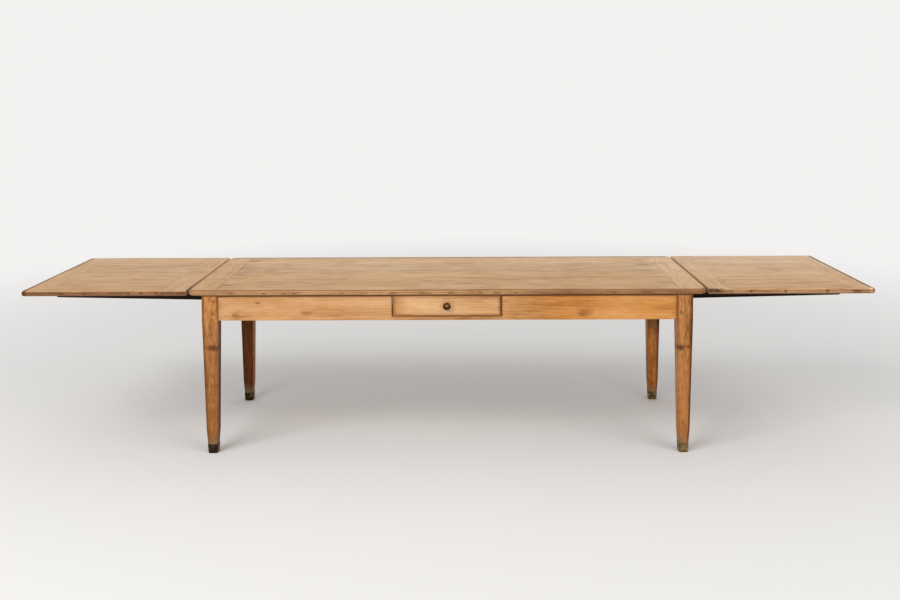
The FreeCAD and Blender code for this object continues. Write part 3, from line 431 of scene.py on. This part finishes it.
bare_tones = ((0.5, 0.35, 0.2), (0.4, 0.26, 0.135), (0.24, 0.14, 0.065))
rail_wood = waxed_wood("rail_wood", "X", bare_tones, 5.0, heart=(0.1, 0.4), rough=0.75)
cover(rail_wood, "front_guide_rail", "back_guide_rail")
cross_wood = waxed_wood("cross_wood", "Y", bare_tones, 6.0, heart=(0.1, 0.4), rough=0.75)
cover(cross_wood, "centre_cross_rail", "left_drawer_runner", "right_drawer_runner", "drawer_stops")


# Drawer. A waxed front of the apron's wood, dovetailed to thin bare sides, with a back and a bottom panel.
# It slides on runners in the frame; hands and dust have browned its rim, and painted shade darkens its edges.

front_low, front_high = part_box("drawer_front")
drawer_front_tones = ((0.735, 0.468, 0.248), (0.65, 0.368, 0.168), (0.45, 0.212, 0.079))
left_side_shade = (0.78, 0.6, 0.42, 1)


def drawer_front_marks(colour, x, y, z, place):
    """Brown round the rim, partly painted shade, and the knob; painted shade at the left and in the outer
    lines, most at the right.
    """
    # The rim's brown is dirt and painted shade together.
    foot = 1 - z.rise(front_low.z, front_low.z + 0.016)
    head = z.rise(front_high.z - 0.02, front_high.z)
    rim = abs(x).rise(front_high.x - 0.02, front_high.x).most(foot).most(head)
    # Painted shade of the gap round the front, widest at the right and under the top.
    left_line = 1 - x.rise(front_low.x, front_low.x + 0.004)
    right_line = x.rise(front_high.x - 0.0085, front_high.x - 0.005)
    foot_line = (1 - z.rise(front_low.z, front_low.z + 0.004)) * 0.4
    head_line = z.rise(front_high.z - 0.005, front_high.z)
    lines = right_line.most(left_line).most(foot_line).most(head_line)
    knob_z = z - (front_low.z + front_high.z) / 2
    ring = 1 - ((x * x + knob_z * knob_z) ** 0.5).rise(0.018, 0.04)
    uneven = place.noise((11.0, 11.0, 30.0), 3.0)
    specks = place.noise((22.0, 90.0, 75.0), 3.0).rise(0.66, 0.8)
    # Painted shade down the left side of the front.
    left = 1 - x.rise(front_low.x, front_low.x + 0.08)
    colour = (left * (0.3 + uneven)).stain(colour, left_side_shade)
    colour = (rim * (0.5 + uneven * 0.7)).stain(colour, BROWN_AND_SHADE)
    colour = (ring * 0.1).stain(colour, BROWN_AND_SHADE)
    colour = (specks * 0.5).stain(colour, BROWN_AND_SHADE)
    return (lines * 0.8).tint(colour, WAX_AND_SHADE), x * 0.0


drawer_front_wood = waxed_wood("drawer_front_wood", "X", drawer_front_tones, 7.0, heart=(0.0, 0.3),
                               ring=0.009, streak=(3.0, 26.0), figure=(0.9, 0.65, 0.5, 0.9),
                               marks=drawer_front_marks, shine=0.16)
cover(drawer_front_wood, "drawer_front")
drawer_tones = ((0.56, 0.41, 0.25), (0.46, 0.32, 0.18), (0.3, 0.19, 0.1))
drawer_side_wood = waxed_wood("drawer_side_wood", "Y", drawer_tones, 8.0, heart=(0.0, 0.4), rough=0.7)
cover(drawer_side_wood, "drawer_left_side", "drawer_right_side")
drawer_panel_wood = waxed_wood("drawer_panel_wood", "X", drawer_tones, 9.0, heart=(0.0, 0.4), rough=0.7)
cover(drawer_panel_wood, "drawer_back", "drawer_bottom")


# Knob. A turned bronze knob on a stem through the drawer front, held by an iron nut inside.
# Dark brown, with the crown rubbed bright; the leaves' screws are of the nut's iron.

knob_bronze = tarnished("knob_bronze", (0.07, 0.027, 0.004), (0.42, 0.275, 0.165), 0.48, 0.78, 0.34,
                        scale=60.0, shine=0.1)
cover(knob_bronze, "drawer_knob")
screw_iron = tarnished("screw_iron", (0.1, 0.09, 0.085), (0.3, 0.28, 0.26), 0.5, 0.75, 0.55)
cover(screw_iron, "knob_nut", "left_leaf_screws", "right_leaf_screws")


# Leaf runners. Bearers stained nearly black, screwed under the leaves and tapered towards their tips.
# Their tongued tails slide in the grooves of the guide rails.

runner_tones = ((0.04, 0.02, 0.01), (0.018, 0.009, 0.005), (0.008, 0.004, 0.002))
runner_wood = waxed_wood("runner_wood", "X", runner_tones, 10.0, heart=(0.1, 0.4), rough=0.7, shine=0.08)
for end in ("left", "right"):
    cover(runner_wood, f"{end}_leaf_front_runner", f"{end}_leaf_back_runner")


# Leaves. Boards along the table between two cross clamps, all with rounded edges, worn pale and streaked.
# Each panel is a stack of outlines, so that its arrises are soft and its edges carry dents.

FRONT, RIGHT, BACK, LEFT = range(4)
SIDE_WAYS = np.array([(1, 0), (0, 1), (-1, 0), (0, -1)], float)


def ripple(along, seed):
    """Six sine waves of falling length with phases from the seed, added: an uneven line between 0 and 1."""
    waves = np.arange(6)
    phases = np.modf(np.sin((waves + 1) * 12.9898 + seed * 78.233) * 43758.5453)[0] * 2 * np.pi
    return 0.5 + (np.sin(along[..., None] * 9.0 * 2.1 ** waves + phases) * 0.72 ** waves).sum(-1) / 6


def edge_rings(nosing, thickness, quirk=0.0, ledge=0.0):
    """Rows of inset at a moulded edge, inset at a joint, height and wear, from the underside to the top.

    The moulded edge is two quarter rounds about a short flat; a quirk, if any, steps up to the field.
    """
    turn = np.linspace(0, np.pi / 2, 7)
    arris = 0.0009
    joint_arris = 0.0004
    joint_gap = 0.0001
    flat = 0.004
    flat_at_joint = 0.005
    belly = thickness - quirk - nosing
    low = np.stack([nosing - nosing * np.sin(turn), nosing - nosing * np.cos(turn)], 1)
    high = np.stack([nosing - nosing * np.cos(turn), belly + nosing * np.sin(turn)], 1)
    if quirk:
        field = nosing + ledge
        step = [(field, thickness - quirk * 0.98), (field + 0.0002, thickness - quirk * 0.3),
                (field + 0.0008, thickness)]
    else:
        step = [(nosing + arris, thickness)]
    outer = np.concatenate([[(nosing + flat, 0)], low, high, step, [(step[-1][0] + flat, thickness)]])
    height = outer[:, 1]
    round_top = np.clip((height - (thickness - joint_arris)) / joint_arris, 0, 1)
    joint = joint_arris * (1 - np.sqrt(1 - round_top ** 2)) + joint_gap
    joint[0] = joint[-1] = flat_at_joint
    wear = np.sin(np.pi * np.clip(height / thickness, 0, 1)) ** 0.5
    return np.stack([outer[:, 0], joint, height, wear], 1)


def worn_panel(name, low, high, moulded, rings, corner_radius, seed, chips=()):
    """A panel as a stack of outlines, one for each ring, each set in from the panel's sides as the ring says.

    Two moulded sides that meet share a round corner. A moulded side is worn by a ripple along it, up to
    the depth below times the ring's wear, and by chips: (x, y, half length, depth), each a bell curve.
    """
    depth = 0.0009
    inset = np.where(np.array(moulded)[:, None], rings[:, 0], rings[:, 1])
    x0, x1 = low[0] + inset[LEFT], high[0] - inset[RIGHT]
    y0, y1 = low[1] + inset[FRONT], high[1] - inset[BACK]
    points = np.stack([np.stack(pair, 1) for pair in ((x0, y0), (x1, y0), (x1, y1), (x0, y1))])
    wear = rings[:, 3][:, None]

    def worn(place, inward):
        along = place[..., 0] + place[..., 1]
        cut = depth * ripple(along, seed) ** 2
        for x, y, half, deep in chips:
            far = ((place[..., 0] - x) ** 2 + (place[..., 1] - y) ** 2) / half ** 2
            cut = cut + deep * np.exp(-far)
        return place + inward * (cut * wear)[..., None]

    loop = []
    for side in range(4):
        after = (side + 1) % 4
        way = SIDE_WAYS[side]
        inward = SIDE_WAYS[after]
        start, end = points[side], points[after]
        bends = [moulded[side] and moulded[(side + turn) % 4] for turn in (-1, 1)]
        near, far = [np.maximum(corner_radius - inset[side], 0.0005) if bend else 0 * x0 for bend in bends]
        first = start + way * near[:, None]
        last = end - way * far[:, None]
        spacing = 0.006 if moulded[side] else 0.03
        count = max(2, int(np.linalg.norm(end[0] - start[0]) / spacing))
        share = np.arange(count) / count
        straight = first[:, None] + share[None, :, None] * (last - first)[:, None]
        loop.append(worn(straight, inward) if moulded[side] else straight)
        if bends[1]:
            swing = np.linspace(0, np.pi / 2, 15)[None, :, None]
            spoke = inward * -np.cos(swing) + way * np.sin(swing)
            centre = (last + inward * far[:, None])[:, None]
            loop.append(worn(centre + spoke * far[:, None, None], -spoke)[:, :-1])
    outline = np.concatenate(loop, 1)
    levels, count = outline.shape[:2]
    heights = np.broadcast_to((low[2] + rings[:, 2])[:, None, None], (levels, count, 1))
    vertices = np.concatenate([outline, heights], 2).reshape(-1, 3)
    level, step = np.meshgrid(np.arange(levels - 1), np.arange(count), indexing="ij")
    onward = (step + 1) % count
    quads = np.stack([level * count + step, level * count + onward, (level + 1) * count + onward,
                      (level + 1) * count + step], -1).reshape(-1, 4)
    caps = [list(range(count))[::-1], list(range((levels - 1) * count, levels * count))]
    mesh = bpy.data.meshes.new(name)
    mesh.from_pydata(vertices.tolist(), [], quads.tolist() + caps)
    mesh.shade_smooth()
    mesh.set_sharp_from_angle(angle=math.radians(35))
    panel = bpy.data.objects.new(name, mesh)
    bpy.context.scene.collection.objects.link(panel)
    return panel


def lay(panel, body, node, finish):
    """The panel moves with its body in place of the CAD node, with the finish of a material slot."""
    panel.data.materials.append(finish)
    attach(panel, body)
    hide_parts(node)


top_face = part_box("top_board_2")[1].z
panel_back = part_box("top_board_4")[1].y
leaf_tones = (
    ((0.64, 0.405, 0.205), (0.545, 0.32, 0.15), (0.37, 0.18, 0.07)),
    ((0.66, 0.43, 0.228), (0.565, 0.345, 0.168), (0.39, 0.205, 0.084)),
    ((0.63, 0.4, 0.21), (0.53, 0.32, 0.155), (0.36, 0.185, 0.075)),
    ((0.67, 0.445, 0.242), (0.58, 0.36, 0.182), (0.4, 0.225, 0.095)),
)
leaf_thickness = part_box("left_leaf_board_2")[1].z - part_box("left_leaf_board_2")[0].z
leaf_nosing = 0.011
leaf_corner = 0.016
leaf_rings = edge_rings(leaf_nosing, leaf_thickness)
leaf_joints_y = [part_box(f"left_leaf_board_{number}")[1].y for number in (1, 2, 3)]
leaf_joints_x = [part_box("right_leaf_inner_clamp")[1].x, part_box("right_leaf_outer_clamp")[0].x]
# Painted sheen on the top faces: deeper at the front, paler and bluer at the back.
near_sheen = (0.93, 0.9, 0.83, 1)
far_sheen = (1.075, 1.085, 1.125, 1)


def panel_marks(clamp_lines, clamp_seam, board_lines, edge_low, edge_high, edge_depth):
    """Marks of a boarded panel: a painted sheen, paler to the back, stains, a brown edge, grime here and
    there in the joints.

    Clamp lines: how far the clamps' joints, as dark as clamp_seam, lie from the table's middle.
    Board lines: places across it. The edge is brown from edge_low to edge_high, as much as edge_depth says.
    """
    def marks(colour, x, y, z, place):
        uneven = place.noise((11.0, 11.0, 11.0), 3.0)
        patchy = place.noise((4.0, 4.0, 4.0), 2.0).rise(0.4, 0.62)
        edge = (1 - z.rise(edge_high - 0.006, edge_high)) * (0.4 + z.rise(edge_low, edge_low + 0.012) * 0.6)
        edge = edge * (0.8 + uneven * 0.8) * edge_depth
        seam = x * 0.0
        halo = x * 0.0
        for line in clamp_lines:
            seam = seam.most(abs(x).near(line, 0.0025) * clamp_seam)
            halo = halo.most(abs(x).near(line, 0.016) * clamp_seam)
        for line in board_lines:
            seam = seam.most(y.near(line, 0.0018) * 0.4)
            halo = halo.most(y.near(line, 0.01) * 0.5)
        spots = place.noise((20.0, 40.0, 40.0), 4.0).rise(0.64, 0.8)
        smears = place.noise((4.0, 6.0, 6.0), 4.0).rise(0.55, 0.78)
        specks = place.noise((75.0, 140.0, 140.0), 2.0).rise(0.7, 0.8)
        # A painted shade line at the foot of the edge.
        foot = 1 - z.rise(edge_low - 0.001, edge_low + 0.004)
        dashes = place.noise((12.0, 12.0, 90.0), 3.0).rise(0.48, 0.62) * edge.rise(0.3, 0.6)
        back = y.rise(panel_back - 0.03, panel_back - 0.008)
        field = z.rise(edge_high - 0.001, edge_high + 0.0005)
        # Painted sheen: the top face paler to the back, deeper to the front.
        far = y.rise(-0.45, 0.45)
        colour = (field * (1 - far)).stain(colour, near_sheen)
        colour = (field * far).stain(colour, far_sheen)
        colour = edge.most(back * 0.5).stain(colour, BROWN_AND_SHADE)
        colour = (halo * uneven.rise(0.4, 0.62)).stain(colour, BROWN_AND_SHADE)
        colour = (spots * 0.5 + smears * 0.3).stain(colour, BROWN_AND_SHADE)
        # Painted shade at the edge's foot, old wax in the dashes.
        colour = (foot * 0.6).most(dashes * 0.5).tint(colour, WAX_AND_SHADE)
        return colour, seam * patchy + specks * 0.55
    return marks


plain_leaf_marks = panel_marks(leaf_joints_x, 0.08, leaf_joints_y, top_face - 0.02, top_face - 0.001, 0.6)
leaf_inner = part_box("right_leaf_inner_clamp")[0].x
leaf_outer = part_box("right_leaf_outer_clamp")[1].x
left_leaf_darker = (0.95, 0.93, 0.9, 1)
right_leaf_pale = (1.04, 1.04, 1.05, 1)
right_leaf_back_sheen = (1.02, 1.07, 1.17, 1)
right_tip_pale = (1.5, 1.6, 1.7, 1)
left_joint_light = (0.8, 0.52, 0.28, 1)
right_joint_light = (0.62, 0.41, 0.23, 1)
chip_x = 1.207
eye_level = top_face - 0.011
eye_height = 0.009
edge_eyes = ((-1.75, 0.026), (-1.644, 0.011), (-1.444, 0.011), (-1.384, 0.013), (-1.317, 0.011),
             (-1.204, 0.028), (1.372, 0.011), (1.527, 0.012), (1.715, 0.013), (1.85, 0.028))
edge_knots = [((eye_x, eye_level), half, eye_height / half, 1.0) for eye_x, half in edge_eyes]


def leaf_marks(colour, x, y, z, place):
    """As on any panel, with dark outer ends, knots along the front edge and a joint face with painted shade
    at the front, painted light behind.

    The left leaf has a darker edge and tip, the right one a pale tip, a painted sheen to the back and a dark
    chip near the top.
    """
    colour, dirt_and_shade = plain_leaf_marks(colour, x, y, z, place)
    left = first_half(x)
    inward = y + panel_back
    low = 1 - z.rise(top_face - 0.007, top_face - 0.002)
    low = low * (0.4 + z.rise(top_face - 0.022, top_face - 0.01) * 0.6)
    # The left leaf darker, the right one paler, with a painted sheen towards its back.
    colour = left.stain(colour, left_leaf_darker)
    colour = (1 - left).stain(colour, right_leaf_pale)
    colour = ((1 - left) * y.rise(-0.3, 0.2)).stain(colour, right_leaf_back_sheen)
    colour = (low * (0.1 + left * 0.75)).stain(colour, BROWN_AND_SHADE)
    wavy = abs(x) + place.noise((11.0, 11.0, 11.0), 3.0) * 0.012
    pale_corner = (1 - inward.rise(0.005, 0.025)) * (1 - left)
    pale_tip = pale_corner * x.rise(leaf_outer - 0.035, leaf_outer - 0.02)
    colour = pale_tip.stain(colour, right_tip_pale)
    end = (wavy - pale_corner * 0.008).rise(leaf_outer - 0.019, leaf_outer - 0.011)
    tip = (1 - x.rise(0.01 - leaf_outer, 0.035 - leaf_outer)) * (1 - inward.rise(0.01, 0.04))
    colour = (end * 0.8).most(tip * 0.5).tint(colour, WAX_AND_SHADE)
    eyes = knots(x, z, edge_knots) * (1 - inward.rise(0.004, 0.012))
    colour = eyes.tint(colour, WAX_AND_SHADE)
    chipped = (x.near(chip_x, 0.06) * 1.8).least(1.0) * (1 - inward.rise(0.004, 0.014))
    chipped = chipped * z.rise(top_face - 0.02, top_face - 0.014)
    chipped = chipped * place.noise((45.0, 45.0, 70.0), 3.0).rise(0.32, 0.5)
    # Painted light on the joint face in the gap, with painted shade at its front end.
    joint_face = 1 - abs(x).rise(leaf_inner + 0.0003, leaf_inner + 0.001)
    front_joint_shade = 1 - inward.rise(0, 0.35)
    joint_light = joint_face * (0.9 - front_joint_shade * 0.6)
    colour = (joint_light * left).tint(colour, left_joint_light)
    colour = (joint_light * (1 - left)).tint(colour, right_joint_light)
    dirt_and_shade = dirt_and_shade + (end * 0.3).most(tip * 0.9) + eyes * 0.5
    return colour, dirt_and_shade + joint_face * front_joint_shade * 0.35 + chipped * 0.95


leaf_woods = [waxed_wood(f"leaf_wood_{number}", "X", tones, 10.0 + number, heart=(0.1 * number - 0.3, 0.45),
                         figure=(0.35, 0.8, 0.9, 0.5), marks=leaf_marks)
              for number, tones in enumerate(leaf_tones, start=1)]
leaf_clamp_wood = waxed_wood("leaf_clamp_wood", "Y", leaf_tones[1], 15.0, heart=(1.26, 0.45),
                             figure=(0.2, 0.5, 0.6, 0.5), marks=leaf_marks)
front_chips = ((1.205, 0.012, 0.004), (1.225, 0.014, 0.003), (-1.3, 0.008, 0.002), (1.62, 0.007, 0.002),
               (-1.71, 0.006, 0.0018))
leaf_chips = [(x, -panel_back, half, deep) for x, half, deep in front_chips]
for end in ("left", "right"):
    body = end + "_leaf"
    clamps = {which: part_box(f"{body}_{which}_clamp") for which in ("inner", "outer")}
    first, last = sorted(clamps.values(), key=lambda box: box[0].x)
    for number, wood in enumerate(leaf_woods, start=1):
        node = f"{body}_board_{number}"
        low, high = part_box(node)
        panel = worn_panel("worn_" + node, (first[1].x, low.y, low.z), (last[0].x, high.y, high.z),
                           (number == 1, False, number == 4, False), leaf_rings, leaf_corner,
                           number + len(end), leaf_chips)
        lay(panel, body, node, wood)
    for which, (low, high) in clamps.items():
        node = f"{body}_{which}_clamp"
        outer = which == "outer"
        moulded = (True, outer and end == "right", True, outer and end == "left")
        panel = worn_panel("worn_" + node, low, high, moulded, leaf_rings, leaf_corner, 7 + len(node),
                           leaf_chips)
        lay(panel, body, node, leaf_clamp_wood)


# Main top. Four wide boards tongued into a clamp at each end, with a nosing and a fine quirk all round.
# Waxed and worn; it lies loose on the frame and is lifted to let the leaves slide in under it.

top_tones = (
    ((0.65, 0.41, 0.208), (0.555, 0.326, 0.148), (0.37, 0.186, 0.072)),
    ((0.66, 0.415, 0.205), (0.565, 0.33, 0.148), (0.38, 0.186, 0.07)),
    ((0.625, 0.42, 0.235), (0.535, 0.335, 0.168), (0.36, 0.2, 0.087)),
    ((0.68, 0.45, 0.245), (0.585, 0.36, 0.178), (0.4, 0.21, 0.085)),
)
quirk_depth = 0.0025
quirk_ledge = 0.0015
top_nosing = 0.009
top_corner = 0.045
top_thickness = top_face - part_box("top_board_2")[0].z
top_rings = edge_rings(top_nosing, top_thickness, quirk_depth, quirk_ledge)
top_joints_y = [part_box(f"top_board_{number}")[1].y for number in (1, 2, 3)]
top_clamps = {end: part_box(f"top_{end}_clamp") for end in ("left", "right")}
clamp_joint = top_clamps["right"][0].x
plain_top_marks = panel_marks([clamp_joint], 0.22, top_joints_y, top_face - 0.021, top_face - 0.002, 0.42)
end_wax = (0.97, 0.95, 0.93, 1)
right_clamp_sheen = (1.13, 1.25, 1.5, 1)
right_nosing_brown = (0.69, 0.6, 0.53, 1)
dash_brown = (0.5, 0.38, 0.28, 1)
back_edge_shade = (0.5, 0.45, 0.42, 1)


def top_marks(colour, x, y, z, place):
    """As on any panel, with painted shade in the quirk, old wax in a crease and blots along the nosing, a
    painted shade line at the back.

    Dark dashes lie where the boards meet the clamps; the left clamp's joint gapes; the right clamp has a
    painted sheen.
    """
    colour, dirt_and_shade = plain_top_marks(colour, x, y, z, place)
    left = first_half(x)
    boards = 1 - abs(x).rise(clamp_joint - 0.002, clamp_joint + 0.004)
    boards = boards * abs(x).near(clamp_joint - 0.03, 0.09)
    dashes = place.noise((9.0, 60.0, 60.0), 3.0).rise(0.47, 0.62) * boards
    dashes = dashes * place.noise((3.0, 8.0, 8.0), 2.0).rise(0.42, 0.62)
    gaping = abs(x).near(clamp_joint, 0.004) * left * y.near(0.13, 0.28)
    gaping = gaping * place.noise((14.0, 14.0, 14.0), 2.0).rise(0.4, 0.55)
    nosing = (1 - z.rise(top_face - 0.006, top_face - 0.003)) * x.rise(0.2, 0.55)
    back_right = ((1 - left) * y.rise(-0.2, 0.2) * 2).least(1.0)
    colour = (abs(x).rise(0.3, 0.8) * (1 - back_right)).stain(colour, end_wax)
    # Painted sheen on the right clamp's top face.
    clamp_sheen = x.rise(clamp_joint - 0.06, clamp_joint + 0.03) * z.rise(top_face - 0.002, top_face - 0.001)
    colour = clamp_sheen.stain(colour, right_clamp_sheen)
    colour = nosing.stain(colour, right_nosing_brown)
    colour = dashes.stain(colour, dash_brown)
    crease = z.near(top_face - 0.0115, 0.004) * place.noise((6.0, 6.0, 1.0), 3.0).rise(0.34, 0.56)
    blots = z.near(top_face - 0.014, 0.007) * place.noise((15.0, 15.0, 20.0), 3.0).rise(0.5, 0.6)
    # Painted shade in the quirk; old wax in the crease and blots.
    quirk = z.near(top_face - 0.0028, 0.003)
    colour = (crease * 0.6).most(blots * 0.9).most(quirk * 0.85).tint(colour, WAX_AND_SHADE)
    # A painted shade line along the back edge.
    colour = y.rise(panel_back - 0.042, panel_back - 0.024).stain(colour, back_edge_shade)
    return colour, dirt_and_shade + gaping * 0.7


top_woods = [waxed_wood(f"top_wood_{number}", "X", tones, 20.0 + number, heart=(0.2 * number - 0.5, 0.45),
                        streak=(6.0, 40.0), figure=(0.35, 0.8, 0.95, 0.65), marks=top_marks)
             for number, tones in enumerate(top_tones, start=1)]
for number, wood in enumerate(top_woods, start=1):
    node = f"top_board_{number}"
    low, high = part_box(node)
    panel = worn_panel("worn_" + node, (top_clamps["left"][1].x, low.y, low.z),
                       (clamp_joint, high.y, high.z), (number == 1, False, number == 4, False),
                       top_rings, top_corner, 20 + number)
    lay(panel, "main_top", node, wood)
top_clamp_wood = waxed_wood("top_clamp_wood", "Y", top_tones[1], 25.0, heart=(1.13, 0.45),
                            figure=(0.2, 0.5, 0.6, 0.5), marks=top_marks, end_grain=0.25)
for end, (low, high) in top_clamps.items():
    node = f"top_{end}_clamp"
    panel = worn_panel("worn_" + node, low, high, (True, end == "right", True, end == "left"), top_rings,
                       top_corner, 25 + len(end))
    lay(panel, "main_top", node, top_clamp_wood)


# Room. A plain pale floor that fades into a pale background, with two soft lamps.
# The camera stands where the photograph's did and looks three degrees down.

background = (0.9, 0.89, 0.875, 1)
floor_half = 40.0
floor_mesh = bpy.data.meshes.new("floor")
floor_corners = [(x, y, 0) for x, y in ((-floor_half, -floor_half), (floor_half, -floor_half),
                                        (floor_half, floor_half), (-floor_half, floor_half))]
floor_mesh.from_pydata(floor_corners, [], [(0, 1, 2, 3)])
floor = bpy.data.objects.new("floor", floor_mesh)
bpy.context.scene.collection.objects.link(floor)
floor_paint, floor_shader, floor_place = new_finish("floor_paint")
floor_shader.inputs["Base Color"].default_value = (0.8, 0.79, 0.775, 1)
floor_shader.inputs["Roughness"].default_value = 0.8
floor_x, floor_y, _ = floor_place.axes()
far = ((floor_x * floor_x + floor_y * floor_y) ** 0.5).rise(2.2, 6.0)
glow = far.node("Emission", (), {"Color": background})
floor_tree = floor_paint.node_tree
fade = far.node("MixShader", (), {0: far, 1: Grain(floor_tree, floor_shader.outputs[0]), 2: glow})
floor_tree.links.new(fade.socket, floor_tree.nodes["Material Output"].inputs["Surface"])
floor.data.materials.append(floor_paint)

world = bpy.data.worlds.new("room")
bpy.context.scene.world = world
world.use_nodes = True
sky = world.node_tree
light_path = sky.nodes.new("ShaderNodeLightPath")
seen = Grain(sky, light_path.outputs["Is Camera Ray"])
seen = seen.most(Grain(sky, light_path.outputs["Is Glossy Ray"]))
seen = seen.most(Grain(sky, light_path.outputs["Is Transmission Ray"]))
soft = seen.node("Background", (), {"Color": (1, 1, 1, 1), "Strength": 0.6})
pale = seen.node("Background", (), {"Color": background, "Strength": 1.0})
both = seen.node("MixShader", (), {0: seen, 1: soft, 2: pale})
sky.links.new(both.socket, sky.nodes["World Output"].inputs["Surface"])


def lamp(name, place, aim, size, power):
    """A square lamp that faces its aim: tilted by its slope from straight down, turned by its bearing."""
    light = bpy.data.lights.new(name, "AREA")
    light.size = size
    light.energy = power
    hung = bpy.data.objects.new(name, light)
    hung.location = place
    turn = np.subtract(aim, place)
    slope = math.atan2(np.hypot(turn[0], turn[1]), -turn[2])
    hung.rotation_euler = (slope, 0, math.atan2(-turn[0], turn[1]))
    bpy.context.scene.collection.objects.link(hung)


lamp_aim = (0, 0, 0.6)
lamp_size = 4.5
lamp("window", (-4.2, -5.0, 5.2), lamp_aim, lamp_size, 320)
lamp("fill", (4.6, -4.4, 4.4), lamp_aim, lamp_size, 150)

view_pixels = (900, 600)
focal_pixels = 928.1
middle_pixels = (459.5, 130.9)
eye = bpy.data.cameras.new("eye")
eye.sensor_width = 36.0
eye.lens = eye.sensor_width * focal_pixels / view_pixels[0]
eye.shift_x = (view_pixels[0] / 2 - middle_pixels[0]) / view_pixels[0]
eye.shift_y = (middle_pixels[1] - view_pixels[1] / 2) / view_pixels[0]
camera = bpy.data.objects.new("eye", eye)
camera.location = (0.0936, -4.5468, 1.6958)
camera.rotation_euler = [math.radians(angle) for angle in (87, 0.302, 0.429)]
bpy.context.scene.collection.objects.link(camera)
bpy.context.scene.camera = camera
bpy.context.scene.view_settings.view_transform = "Standard"
